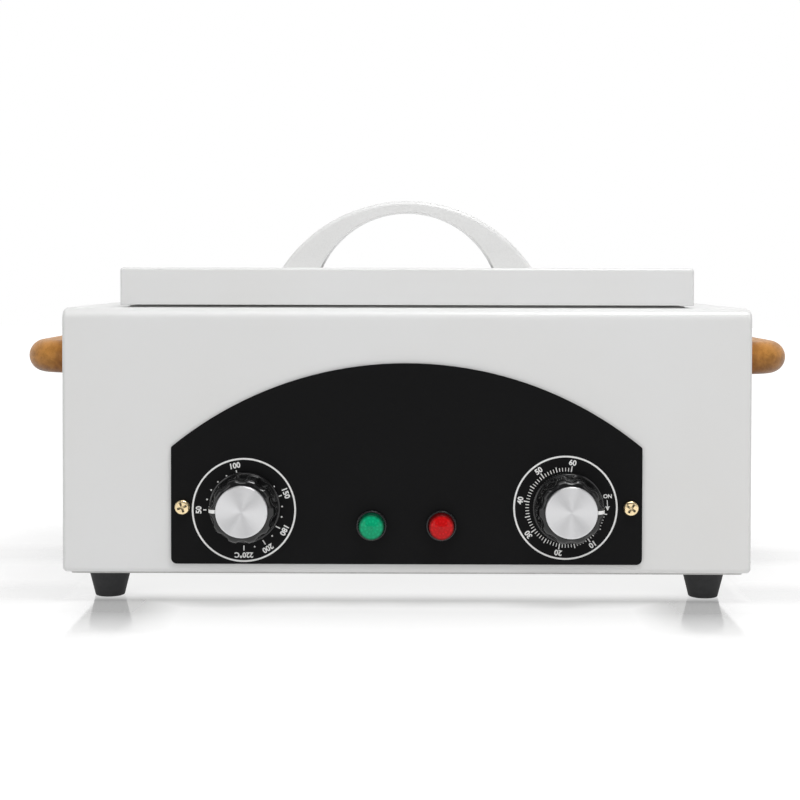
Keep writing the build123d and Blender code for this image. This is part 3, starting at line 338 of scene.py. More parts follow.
# ---- finishes ----
def enamel(name, tint, gloss=0.34, peel=1.0):
    """Sprayed white enamel: a faint orange peel, warmer patches, fine specks and an uneven gloss."""
    s = Shader(name, tint, gloss, Coat_Weight=0.25, Coat_Roughness=0.18, Specular_IOR_Level=0.45)
    cloud = s.noise(9.0, 3.0, 0.55)
    warm = tuple(c * k for c, k in zip(tint, (0.975, 0.968, 0.955)))
    shade = s.mix_color(s.span(cloud, 0.35, 0.75, 0.0, 1.0), tint, warm)
    speck = s.noise(1400.0, 2.0, 0.6)
    dust = s.span(speck, 0.70, 0.80, 0.0, 0.16)
    s.color(s.mix_color(dust, shade, toned(tint, 0.72)))
    s.roughness(s.noise(45.0, 4.0, 0.6), 0.3, 0.75, gloss - 0.05, gloss + 0.09)
    skin = s.noise(620.0, 2.0, 0.5)
    s.bump(skin, 0.00003 * peel, 0.55, edge=0.0007)
    return s.material


def black_plate(tint):
    """Powder-coated black sheet: a fine pebbled skin and softened edges."""
    s = Shader("panel_black_coat", tint, 0.5, Specular_IOR_Level=0.09)
    grain = s.noise(2600.0, 2.0, 0.6)
    worn = toned(tint, 2.0, 0.004)
    s.tone(grain, 0.35, 0.8, 0.35, tint, worn)
    s.roughness(s.noise(30.0, 4.0, 0.6), 0.3, 0.7, 0.42, 0.58)
    s.bump(grain, 0.00003, 0.5, edge=0.0003)
    return s.material


def dial_ink(tint):
    """Screen-printed white ink, not quite even."""
    s = Shader("dial_ink", tint, 0.55, Specular_IOR_Level=0.3)
    thin = s.noise(900.0, 3.0, 0.6)
    s.tone(thin, 0.3, 0.8, 0.4, tint, toned(tint, 0.74))
    s.roughness(thin, 0.3, 0.8, 0.48, 0.62)
    return s.material


def grip_plastic(tint):
    """Moulded black phenolic with a deep gloss, slightly uneven."""
    s = Shader("grip_black_phenolic", tint, 0.14, Specular_IOR_Level=0.5)
    cloud = s.noise(160.0, 4.0, 0.6)
    s.tone(cloud, 0.35, 0.75, 1.0, tint, toned(tint, 1.5, 0.001))
    s.roughness(cloud, 0.3, 0.75, 0.12, 0.19)
    s.bump(s.noise(160.0, 2.0, 0.5), 0.00002, 0.3)
    return s.material


def pointer_paint(tint):
    """White filling paint in the grips' pointer grooves."""
    s = Shader("pointer_white_fill", tint, 0.42)
    fleck = s.noise(1500.0, 3.0, 0.6)
    s.tone(fleck, 0.45, 0.8, 0.3, tint, toned(tint, 0.8))
    s.roughness(fleck, 0.3, 0.8, 0.36, 0.5)
    return s.material


def spun_metal(name, tint, centre):
    """Aluminium faced on a lathe: fine rings about the cap's centre, with its highlights spread in wedges."""
    s = Shader(name, tint, 0.5, 1.0, Anisotropic=0.82)
    apart = s.vector("SUBTRACT", s.position, centre)
    radius = s.length(s.vector("CROSS_PRODUCT", apart, (0, 1, 0)))
    s.link(s.vector("MULTIPLY", apart, (1, 0, 1)), s.bsdf.inputs["Tangent"])
    rings = s.node("TexNoise", noise_dimensions="1D", Scale=5200.0, Detail=3.0, Roughness=0.7)
    s.link(radius, rings.inputs["W"])
    ring = rings.outputs["Fac"]
    s.tone(ring, 0.3, 0.7, 1.0, toned(tint, 0.94), tint)
    s.roughness(ring, 0.3, 0.7, 0.45, 0.53)
    s.bump(ring, 0.000006, 0.35, edge=0.0002)
    return s.material


def lamp_lens(name, tint, glow, centre, facets):
    """A clear coloured cap over moulded prisms: the prisms tilt the inner light, the outside stays smooth.
    Its colour carries painted highlights on the prism facets and painted shade towards the rim, and it shines
    as a painted glow of that colour.
    """
    s = Shader(name, tint, 0.2, Coat_Weight=0.3, Coat_Roughness=0.05, Emission_Strength=glow,
               Specular_IOR_Level=0.03)
    parts = s.split(s.vector("SUBTRACT", s.object_place(), centre))
    across, up = parts["X"], parts["Z"]
    radius = s.math("SQRT", s.math("ADD", s.math("MULTIPLY", across, across), s.math("MULTIPLY", up, up)))
    angle = s.math("ARCTAN2", up, across)
    spoke = s.math("PINGPONG", s.math("MULTIPLY", angle, facets / (2 * math.pi)), 0.5)
    step = s.math("PINGPONG", s.math("MULTIPLY", radius, 480.0), 0.5)
    prism = s.math("MULTIPLY", spoke, step)
    s.bump(prism, 0.0018, 0.7)
    s.link(s.node("NewGeometry").outputs["Normal"], s.bsdf.inputs["Coat Normal"])
    # Painted shade: the colour darkens towards the lens rim, by distance from the lens middle.
    rim = s.span(radius, 0.0050, 0.0064, 0.0, 1.0)
    rim_shade = toned(tint, 0.22)
    pale = tuple(min(1.0, c * 1.35 + 0.004) for c in tint)
    # Painted highlight: the prism facets are paler where the prism pattern is high.
    inner = s.mix_color(s.span(prism, 0.02, 0.24, 0.0, 1.0), tint, pale)
    shade = s.mix_color(rim, inner, rim_shade)
    s.color(shade)
    # Painted glow: the same colour, with its painted shade and highlights, is emitted as light.
    s.link(shade, s.bsdf.inputs["Emission Color"])
    return s.material


def varnished_wood(light, dark, low, high):
    """Varnished wood: long streaks, short pores, painted shade darkening the lower half, redder next to the
    cabinet.
    """
    s = Shader("handle_wood", light, 0.42, Coat_Weight=0.06, Coat_Roughness=0.25, Specular_IOR_Level=0.12)
    wave = s.noise(260.0, 4.0, 0.55, 0.35, (1.0, 0.05, 1.0))
    fibre = s.noise(1500.0, 3.0, 0.65, 0.2, (1.0, 0.03, 1.0))
    tone = s.ramp(wave, (0.22, between(light, dark, 0.4)), (0.42, between(light, dark, 0.2)),
                  (0.56, light), (0.78, toned(light, 1.08)))
    pores = s.ramp(fibre, (0.30, 0.72), (0.42, 0.94), (0.6, 1.0))
    parts = s.split(s.object_place())
    # Painted shade: the handle darkens from about its middle height down to its bottom, along a wavering
    # edge.
    wander = s.span(wave, 0.3, 0.7, -0.0025, 0.0025)
    sunk = s.span(s.math("ADD", parts["Z"], wander), low - 0.001, (low + high) / 2 + 0.002, 0.85, 0.0)
    underside_shaded = s.mix_color(sunk, tone, toned(dark, 0.8))
    grained = s.mix_color(1.0, underside_shaded, pores, "MULTIPLY")
    reach = s.math("ABSOLUTE", parts["X"])
    root = s.span(reach, 0.1770, 0.1935, 1.0, 0.0)
    rich = (dark[0] * 0.95, dark[1] * 0.62, dark[2] * 0.5)
    s.color(s.mix_color(s.math("MULTIPLY", root, 0.8), grained, rich))
    s.roughness(fibre, 0.3, 0.7, 0.46, 0.3)
    s.bump(fibre, 0.00006, 0.35)
    return s.material


def bright_metal(name, tint, roughness, spread=0.1, grain=(1, 1, 1), scale=300.0, depth=0.00001, **sockets):
    """Plain metal with a direction to its scratches."""
    s = Shader(name, tint, roughness, 1.0, **sockets)
    scratch = s.noise(scale, 5.0, 0.65, stretch=grain)
    cloud = s.noise(38.0, 3.0, 0.5)
    dull = toned(tint, 0.8)
    s.tone(cloud, 0.35, 0.75, 0.8, tint, dull)
    s.roughness(scratch, 0.3, 0.7, roughness - spread, roughness + spread)
    s.bump(scratch, depth, 0.5, edge=0.0002)
    return s.material


def galvanised(name, tint):
    """Zinc-plated steel with soft crystal patches."""
    s = Shader(name, tint, 0.42, 1.0)
    cells = s.node("TexVoronoi", Scale=170.0)
    s.link(s.object_space(), cells.inputs["Vector"])
    tone = s.node("SeparateColor")
    s.link(cells.outputs["Color"], tone.inputs[0])
    patch = tone.outputs["Red"]
    s.color(s.mix_color(patch, toned(tint, 0.82), tint))
    s.roughness(patch, 0.0, 1.0, 0.34, 0.52)
    s.bump(s.noise(500.0, 3.0, 0.6), 0.00001, 0.5, edge=0.0003)
    return s.material


def chamber_steel(tint, low, high):
    """Brushed stainless with the straw tone that heat leaves towards the bottom."""
    s = Shader("chamber_stainless", tint, 0.28, 1.0)
    brush = s.noise(2400.0, 3.0, 0.6, stretch=(0.02, 1.0, 1.0))
    parts = s.split(s.object_place())
    depth = s.span(parts["Z"], low, high, 0.75, 0.0)
    stain = s.math("MULTIPLY", depth, s.span(s.noise(28.0, 4.0, 0.6), 0.3, 0.7, 0.4, 1.0))
    straw = (tint[0] * 0.98, tint[1] * 0.83, tint[2] * 0.58)
    s.color(s.mix_color(stain, tint, straw))
    s.roughness(brush, 0.3, 0.7, 0.27, 0.37)
    s.bump(brush, 0.000003, 0.3, edge=0.0004)
    return s.material


def rubber(name, tint):
    """Moulded black rubber, matt, with a dusting of grey."""
    s = Shader(name, tint, 0.72, Specular_IOR_Level=0.35)
    dust = s.noise(220.0, 5.0, 0.7)
    s.tone(dust, 0.4, 0.8, 0.8, tint, toned(tint, 1.8, 0.012))
    s.roughness(dust, 0.3, 0.8, 0.6, 0.85)
    s.bump(s.noise(1500.0, 3.0, 0.6), 0.00004, 0.6, edge=0.0004)
    return s.material


def moulding(name, tint, roughness=0.4, **sockets):
    """An injection moulding: a fine spark-eroded skin."""
    s = Shader(name, tint, roughness, **sockets)
    skin = s.noise(1300.0, 3.0, 0.6)
    s.tone(skin, 0.35, 0.75, 0.7, tint, toned(tint, 0.88))
    s.roughness(skin, 0.3, 0.75, roughness - 0.05, roughness + 0.1)
    s.bump(skin, 0.00002, 0.5, edge=0.0003)
    return s.material


def glass_wool(tint):
    """A pressed mat of fibres."""
    s = Shader("glass_wool_mat", tint, 0.95, Specular_IOR_Level=0.1)
    fibre = s.noise(420.0, 8.0, 0.8, 2.5)
    pale = tuple(min(1, c * 1.2) for c in tint)
    s.color(s.ramp(fibre, (0.3, toned(tint, 0.6)), (0.55, tint), (0.75, pale)))
    s.bump(fibre, 0.0008, 0.8)
    return s.material


def coloured_leads(brown, blue, earth):
    """Wire covers, each run its own colour by where it lies."""
    s = Shader("wire_covers", brown, 0.45)
    cells = s.noise(55.0, 0.0, 0.0, stretch=(1, 0.02, 0.02))
    s.color(s.ramp(cells, (0.44, brown), (0.46, blue), (0.54, blue), (0.56, earth)))
    s.bump(s.noise(900.0, 3.0, 0.6), 0.00002, 0.5)
    return s.material


def clear_bulb(name):
    """A tiny glass bulb."""
    s = Shader(name, (1.0, 0.93, 0.86), 0.04, Transmission_Weight=0.85, IOR=1.5)
    s.roughness(s.noise(400.0, 3.0, 0.5), 0.3, 0.7, 0.02, 0.08)
    return s.material


# ---- sizes and colours that a user may change ----
def tint_setting(name, description, *rgb):
    return bpy.props.FloatVectorProperty(name=name, description=description, subtype="COLOR", size=3,
                                         min=0.0, max=1.0, default=rgb)


def length_setting(name, description, metres, least=0.0):
    return number_setting(name, description, metres, least, subtype="DISTANCE", unit="LENGTH", precision=5)


def number_setting(name, description, value, least=0.0, **more):
    return bpy.props.FloatProperty(name=name, description=description, min=least, default=value, **more)


def count_setting(name, description, value, least, most):
    return bpy.props.IntProperty(name=name, description=description, min=least, max=most, default=value)


def power_setting(name, description, watts):
    return number_setting(name, description, watts, subtype="POWER", unit="POWER")


def place_setting(name, description, *metres, precision=5):
    return bpy.props.FloatVectorProperty(name=name, description=description, size=len(metres), default=metres,
                                         subtype="TRANSLATION", unit="LENGTH", precision=precision)


class SterilizerCabinetLooks(bpy.types.PropertyGroup):
    enamel: tint_setting("Enamel", "Paint of the cabinet and lid", 0.755, 0.757, 0.755)
    gloss: number_setting("Roughness", "Roughness of the enamel", 0.34, 0.05, max=1.0, subtype="FACTOR")
    arch: tint_setting("Lid handle", "Moulded plastic of the lid's arched handle", 0.79, 0.79, 0.785)
    rubber: tint_setting("Feet", "Rubber of the four feet", 0.022, 0.022, 0.023)


class SterilizerPanelPrint(bpy.types.PropertyGroup):
    plate: tint_setting("Panel", "Black coat of the control panel", 0.004, 0.004, 0.0043)
    ink: tint_setting("Ink", "White print round the dials", 0.86, 0.86, 0.85)
    ring_radius: length_setting("Ring radius", "Outer radius of the printed rings", 26.8 * MM)
    ring_width: length_setting("Ring width", "Width of the printed rings", 0.9 * MM)
    thermostat_shift: place_setting(
        "Temperature print shift", "How far the left print sits off its shaft, right and up",
        -0.5 * MM, -1.5 * MM)
    timer_shift: place_setting(
        "Timer print shift", "How far the right print sits off its shaft, right and up", -1.4 * MM, 0.1 * MM)
    number_radius: length_setting("Number radius", "Distance of the numbers from each print's middle",
                                  23.3 * MM)
    number_height: length_setting("Number height", "Height of the printed numbers", 3.0 * MM)
    mark_width: length_setting("Mark width", "Width of the printed marks", 0.5 * MM)


class SterilizerKnobShape(bpy.types.PropertyGroup):
    grip: tint_setting("Grip", "Black plastic of the two grips", 0.004, 0.004, 0.0043)
    cap: tint_setting("Cap", "Spun aluminium of the caps", 0.76, 0.76, 0.77)
    pointer: tint_setting("Pointer", "White fill of the pointer lines", 0.93, 0.93, 0.92)
    lobes: count_setting("Lobes", "Lobes round each grip", 10, 4, 24)
    flute_radius: length_setting("Flute radius", "Radius of the hollows between the lobes", 4.4 * MM, 0.001)
    flute_depth: length_setting("Flute depth", "Depth of the hollows between the lobes", 1.7 * MM)
    grip_radius: length_setting("Grip radius", "Radius over the lobes at the skirt", 17.2 * MM, 0.005)
    top_radius: length_setting("Top radius", "Radius over the lobes below the shoulder", 17.1 * MM, 0.005)
    skirt_radius: length_setting("Skirt radius", "Radius of the flat skirt", 18.4 * MM, 0.005)
    skirt_height: length_setting("Skirt height", "Thickness of the flat skirt", 1.6 * MM)
    shoulder: length_setting("Shoulder", "How far the grip's shoulder draws in round the cap", 3.6 * MM)
    pointer_width: length_setting("Pointer width", "Width of the painted pointer", 1.8 * MM)
    grip_height: length_setting("Grip height", "Height of the grip from its foot", 15.6 * MM)
    cap_radius: length_setting("Cap radius", "Radius of the recess for the cap", 13.2 * MM)
    cap_recess: length_setting("Cap recess", "Depth of the recess for the cap", 1.2 * MM)


class SterilizerLampLooks(bpy.types.PropertyGroup):
    green: tint_setting("Green lens", "Colour of the left lens", 0.0, 0.30, 0.135)
    red: tint_setting("Red lens", "Colour of the right lens", 0.46, 0.003, 0.004)
    # Strength of the painted glow: each lens emits light of its own colour.
    glow: number_setting("Inner light", "Light gathered by the prisms inside a lens", 0.12, max=2.0)
    facets: count_setting("Prisms", "Prisms moulded round each lens", 12, 4, 40)
    bezel: tint_setting("Bezel", "Black ring round each lens", 0.008, 0.008, 0.009)


class SterilizerWoodLooks(bpy.types.PropertyGroup):
    light: tint_setting("Light wood", "Light grain of the side handles", 0.56, 0.255, 0.060)
    # The dark wood also tints the painted shade on the handles' lower half.
    dark: tint_setting("Dark wood", "Dark grain of the side handles", 0.17, 0.060, 0.010)


class SterilizerMetalLooks(bpy.types.PropertyGroup):
    stainless: tint_setting("Stainless", "Chamber, tray and lid liner", 0.60, 0.60, 0.585)
    zinc: tint_setting("Zinc plate", "Base, hinges, nuts and plain screws", 0.44, 0.44, 0.43)
    sheet: tint_setting("Bright zinc", "Galvanised sheet of the base", 0.50, 0.50, 0.49)
    brass: tint_setting("Yellow plate", "Panel screws", 0.86, 0.69, 0.42)
    copper: tint_setting("Copper", "The thermostat's fine tube", 0.72, 0.36, 0.20)


class SterilizerStudio(bpy.types.PropertyGroup):
    lens: number_setting("Lens", "Focal length of the studio camera in millimetres", 70.58, 10.0)
    camera_place: place_setting("Camera place", "Where the studio camera stands",
                                0.7 * MM, -888.1 * MM, 170.8 * MM, precision=4)
    camera_turn: bpy.props.FloatVectorProperty(
        name="Camera turn", description="Tilt down, roll and turn of the studio camera", size=3,
        subtype="EULER", unit="ROTATION", default=[math.radians(turn) for turn in (1.34, 0.114, 0.3)])
    camera_rise: bpy.props.FloatProperty(name="Lens shift", description="Vertical shift of the studio camera",
                                         default=-0.1134)
    overhead: power_setting("Overhead light", "Power of the large overhead light", 4.2)
    glint: power_setting("Glint light", "Power of the small light that makes glints", 2.9)
    front: power_setting("Front lights", "Power of the two front lights together", 7.4)
    ambient: number_setting("Room light", "Strength of the even light all round", 0.55)


def settings(group):
    return getattr(bpy.context.scene, "sterilizer_" + group)


# ---- pieces ----
class STERILIZER_OT_cabinet(bpy.types.Operator):
    """Paint the cabinet and the lid"""
    bl_idname = "sterilizer.cabinet"
    bl_label = "Cabinet and Lid"

    def execute(self, context):
        looks = settings("cabinet")
        paint = enamel("white_enamel_coat", tuple(looks.enamel), looks.gloss)
        give(paint, "housing_shell", "lid_shell")
        return {"FINISHED"}


class STERILIZER_OT_lid_handle(bpy.types.Operator):
    """Finish the arched lid handle and its screws"""
    bl_idname = "sterilizer.lid_handle"
    bl_label = "Lid Handle"

    def execute(self, context):
        arch = tuple(settings("cabinet").arch)
        give(moulding("arch_white_moulding", arch, 0.3, Coat_Weight=0.2, Coat_Roughness=0.2), "lid_handle")
        give(frame_metal("zinc"), "lid_handle_screws")
        return {"FINISHED"}


class STERILIZER_OT_feet(bpy.types.Operator):
    """Finish the rubber feet and what holds them"""
    bl_idname = "sterilizer.feet"
    bl_label = "Feet"

    def execute(self, context):
        give(rubber("foot_black_rubber", tuple(settings("cabinet").rubber)), "feet")
        give(frame_metal("zinc"), "foot_screws", "foot_nuts")
        return {"FINISHED"}


class STERILIZER_OT_panel(bpy.types.Operator):
    """Coat the control panel and finish its two screws"""
    bl_idname = "sterilizer.panel"
    bl_label = "Control Panel"

    def execute(self, context):
        give(black_plate(tuple(settings("print").plate)), "control_panel")
        give(frame_metal("brass"), "panel_screws")
        return {"FINISHED"}


METALS = {}


def frame_metal(kind):
    """A metal that several nodes share, made once."""
    if kind not in METALS:
        looks = settings("metal")
        if kind == "zinc":
            METALS[kind] = galvanised("zinc_plate", tuple(looks.zinc))
        elif kind == "brass":
            METALS[kind] = screw_metal("yellow_plate", tuple(looks.brass), 0.22)
        elif kind == "copper":
            METALS[kind] = bright_metal("copper_bright", tuple(looks.copper), 0.3, 0.1, scale=600.0)
        else:
            low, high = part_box("inner_chamber")
            METALS[kind] = chamber_steel(tuple(looks.stainless), low.z, high.z)
    return METALS[kind]


# ---- dial print ----
TEMPERATURE_SCALE = {"50": 180.0, "100": 101.0, "150": 21.5, "180": -27.0, "200": -58.0, "220°C": -90.0}
TEMPERATURE_DOTS = (164.2, 148.6, 132.7, 117.0, 38.0, 5.4, -10.3, -42.6, -73.7)
TEMPERATURE_LONG = ("180", "200", "220°C")
TIMER_START = -9.0
TIMER_MINUTES = 60
MINUTE_ANGLE = 4.5
MINUTE_START = 18.7
DOT_RADIUS = 19.7
DOT_SIZE = 0.85
LONG_MARK = 18.3
SHORT_MARK = 19.3
DEGREE_END = 20.9
WIDE_MARK = 1.15
MINUTE_MARKS = ((10, (21.7, WIDE_MARK)), (5, (21.3, 1.0)), (1, (20.6, 0.8)))


class Print:
    """White print on the panel, gathered as flat shapes about one middle."""

    def __init__(self, middle):
        self.middle = middle
        self.verts = []
        self.faces = []

    def add(self, points, faces):
        start = len(self.verts)
        self.verts.extend(points)
        self.faces.extend(tuple(start + i for i in face) for face in faces)

    def ring(self, outer, width, segments=180):
        points = []
        for radius in (outer, outer - width):
            points.extend((x, y, 0) for x, y in arc_points(0, 0, radius, 0, 360, segments)[:-1])
        faces = []
        for i in range(segments):
            j = (i + 1) % segments
            faces.append((i, j, segments + j, segments + i))
        self.add(points, faces)

    def bar(self, angle, inner, outer, width):
        half = width / 2
        corners = ((inner, -half, 0), (outer, -half, 0), (outer, half, 0), (inner, half, 0))
        self.add([tuple(on_ring(angle, 0) @ Vector(p)) for p in corners], [(0, 1, 2, 3)])

    def dot(self, angle, radius, size):
        x = radius * math.cos(math.radians(angle))
        y = radius * math.sin(math.radians(angle))
        rim = [(px, py, 0) for px, py in arc_points(x, y, size / 2, 0, 360, 12)[:-1]]
        self.add(rim, [tuple(range(12))])

    def wedge(self, angle, radius, size, turn):
        """A small arrow head pointing along the ring."""
        corners = ((0, turn * size, 0), (-size * 0.5, 0, 0), (size * 0.5, 0, 0))
        self.add([tuple(on_ring(angle, radius) @ Vector(p)) for p in corners], [(0, 1, 2)])

    def word(self, text, angle, radius, height, heavy=0.034, upright=False):
        """Lettering set round the ring with its tops outward, or upright."""
        curve = bpy.data.curves.new("dial_word", "FONT")
        curve.body = text
        curve.size = 1.0
        curve.offset = heavy
        curve.resolution_u = 4
        source = bpy.data.objects.new("dial_word", curve)
        bpy.context.scene.collection.objects.link(source)
        bpy.context.view_layer.update()
        shape = bpy.data.meshes.new_from_object(source.evaluated_get(bpy.context.evaluated_depsgraph_get()))
        xs = [v.co.x for v in shape.vertices]
        ys = [v.co.y for v in shape.vertices]
        scale = height / (max(ys) - min(ys))
        middle = Vector(((max(xs) + min(xs)) / 2, (max(ys) + min(ys)) / 2, 0))
        turn = Matrix.Rotation(math.radians(-angle if upright else -90), 4, "Z")
        place = on_ring(angle, radius) @ turn @ Matrix.Scale(scale, 4)
        self.add([tuple(place @ (v.co - middle)) for v in shape.vertices],
                 [tuple(p.vertices) for p in shape.polygons])
        bpy.data.objects.remove(source)
        bpy.data.curves.remove(curve)
        bpy.data.meshes.remove(shape)

    def finish(self, name):
        skin = 0.04 * MM
        x, z = self.middle
        place = facing_front(x, panel_face() - skin, z)
        return mesh_object(name, [place @ Vector(v) for v in self.verts], self.faces)


def dial_middle(shaft, shift):
    axis = centre_of(shaft)
    return axis.x + shift[0], axis.z + shift[1]


class STERILIZER_OT_dials(bpy.types.Operator):
    """Print the temperature ring and the timer ring on the panel"""
    bl_idname = "sterilizer.dials"
    bl_label = "Dial Print"

    def execute(self, context):
        looks = settings("print")
        ink = dial_ink(tuple(looks.ink))
        body = body_of("control_panel")
        dress(self.temperature(looks).finish("temperature_print"), ink, body)
        dress(self.minutes(looks).finish("timer_print"), ink, body)
        return {"FINISHED"}

    def temperature(self, looks):
        dial = Print(dial_middle("thermostat_shaft", looks.thermostat_shift))
        dial.ring(looks.ring_radius, looks.ring_width)
        for angle in TEMPERATURE_DOTS:
            dial.dot(angle, DOT_RADIUS * MM, DOT_SIZE * MM)
        for text, angle in TEMPERATURE_SCALE.items():
            start = LONG_MARK if text in TEMPERATURE_LONG else SHORT_MARK
            dial.bar(angle, start * MM, DEGREE_END * MM, looks.mark_width * WIDE_MARK)
            dial.word(text, angle, looks.number_radius, looks.number_height)
        return dial

    def minutes(self, looks):
        dial = Print(dial_middle("timer_shaft", looks.timer_shift))
        dial.ring(looks.ring_radius, looks.ring_width)
        for minute in range(TIMER_MINUTES + 1):
            angle = TIMER_START - minute * MINUTE_ANGLE
            reach, thick = next(mark for step, mark in MINUTE_MARKS if minute % step == 0)
            dial.bar(angle, MINUTE_START * MM, reach * MM, looks.mark_width * thick)
            if minute % 10 == 0 and minute > 0:
                dial.word(str(minute), angle, looks.number_radius + 0.2 * MM, looks.number_height)
        dial.word("ON", 15.5, looks.number_radius - 0.9 * MM, looks.number_height * 0.72, upright=True)
        dial.bar(5.6, looks.number_radius - 1.9 * MM, looks.number_radius - 1.5 * MM, 3.8 * MM)
        dial.wedge(2.0, looks.number_radius - 1.7 * MM, 2.3 * MM, -1)
        return dial


# ---- knobs ----
POCKET_RADIUS = 9.1 * MM
POCKET_HEIGHT = 5.5 * MM
SKIRT_SOFTNESS = 0.35 * MM
SKIRT_FLARE = 2.2 * MM
SKIRT_LIP = 0.7 * MM
SHOULDER_RISE = 1.25
FLUTE_BLEND = 0.35 * MM
LOBE_POINTS = 36


class STERILIZER_OT_knobs(bpy.types.Operator):
    """Make the two fluted grips and finish their caps and pointers"""
    bl_idname = "sterilizer.knobs"
    bl_label = "Knobs"

    def execute(self, context):
        looks = settings("knobs")
        plastic = grip_plastic(tuple(looks.grip))
        paint = pointer_paint(tuple(looks.pointer))
        for dial, pointer_angle in (("thermostat", 180.0), ("timer", 0.0)):
            grip = self.grip(dial, pointer_angle, looks)
            dress(grip, plastic, body_of(dial + "_knob"))
            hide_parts(dial + "_knob")
            cap = dial + "_cap"
            give(spun_metal(cap + "_aluminium", tuple(looks.cap), centre_of(cap)), cap)
            dress(self.pointer(dial, pointer_angle, looks), paint, body_of(dial + "_knob"))
            give(frame_metal("zinc"), dial + "_shaft")
        return {"FINISHED"}

    def outline(self, looks):
        """Radius, height and share of flute from the skirt's foot to the shoulder's top."""
        skirt, top, reach = looks.skirt_height, looks.grip_height, looks.skirt_radius
        soft, flare = SKIRT_SOFTNESS, SKIRT_FLARE
        rows = [(reach - soft, 0.0, 0.0), (reach, soft, 0.0), (reach, skirt - 0.6 * MM, 0.0),
                (reach - 0.2 * MM, skirt - 0.2 * MM, 0.0), (reach - SKIRT_LIP, skirt, 0.0)]
        for step in range(1, 7):
            turn = math.radians(90 * step / 7)
            radius = reach - SKIRT_LIP - (reach - SKIRT_LIP - looks.grip_radius) * math.sin(turn)
            rows.append((radius, skirt + flare * (1 - math.cos(turn)), 0.5 * (1 - math.cos(turn))))
        rise = top - looks.shoulder * SHOULDER_RISE
        for step in range(11):
            share = step / 10
            height = skirt + flare + (rise - skirt - flare) * share
            radius = looks.grip_radius + (looks.top_radius - looks.grip_radius) * share
            rows.append((radius, height, 0.5 + 0.5 * min(1.0, share * 3)))
        for step in range(1, 8):
            turn = math.radians(90 * step / 7)
            radius = looks.top_radius - looks.shoulder * (1 - math.cos(turn))
            height = rise + looks.shoulder * SHOULDER_RISE * math.sin(turn)
            rows.append((radius, height, 1.0 - 0.85 * step / 7))
        return rows

    def grip(self, dial, pointer_angle, looks):
        """A pocket over the nut, a flared skirt, lobes with a round shoulder and the cap's recess."""
        top = looks.grip_height
        rows = [(POCKET_RADIUS, POCKET_HEIGHT, 0.0), (POCKET_RADIUS, 0.0, 0.0)] + self.outline(looks)
        rows.append((looks.cap_radius + 0.25 * MM, top, 0.0))
        rows.append((looks.cap_radius + 0.05 * MM, top - 0.2 * MM, 0.0))
        rows.append((looks.cap_radius + 0.05 * MM, top - looks.cap_recess, 0.0))
        count = looks.lobes * LOBE_POINTS
        rings = []
        for radius, height, hollow in rows:
            ring = []
            for i in range(count):
                angle = 2 * math.pi * i / count
                reach = radius - hollow * self.hollow(angle, looks)
                turned = angle + math.radians(pointer_angle)
                ring.append((reach * math.cos(turned), reach * math.sin(turned), height))
            rings.append(ring)
        return shell_from_rings(dial + "_grip", rings, seat_of(dial + "_knob"), 38)

    def pointer(self, dial, pointer_angle, looks):
        """White filling that follows the grip's outline, tapered towards the skirt."""
        rows = self.outline(looks)[3:]
        rows.append((looks.cap_radius + 0.4 * MM, looks.grip_height, 0.0))
        proud, sunk, lower = 0.08 * MM, 0.5 * MM, 0.2 * MM
        rings = []
        for index, (radius, height, _) in enumerate(rows):
            half = looks.pointer_width * (0.34 + 0.16 * index / (len(rows) - 1))
            lift = proud if radius < looks.top_radius else 0.0
            rings.append([(radius + proud, -half, height + lift), (radius + proud, half, height + lift),
                          (radius - sunk, half, height - lower), (radius - sunk, -half, height - lower)])
        place = seat_of(dial + "_knob") @ on_ring(pointer_angle, 0)
        filling = shell_from_rings(dial + "_pointer_fill", rings, place, 38)
        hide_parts(dial + "_pointer")
        return filling

    def hollow(self, angle, looks):
        """How far the outline draws in at an angle from a lobe's middle."""
        pitch = 2 * math.pi / looks.lobes
        off = abs((angle % pitch) - pitch / 2)
        flute = looks.grip_radius - looks.flute_depth + looks.flute_radius
        across = flute * math.sin(off)
        if across >= looks.flute_radius:
            return 0.0
        near = flute * math.cos(off) - math.sqrt(looks.flute_radius ** 2 - across ** 2)
        gap = looks.grip_radius - near
        blend = FLUTE_BLEND
        return (gap + math.sqrt(gap * gap + blend * blend)) / 2 - (blend * 0.06)


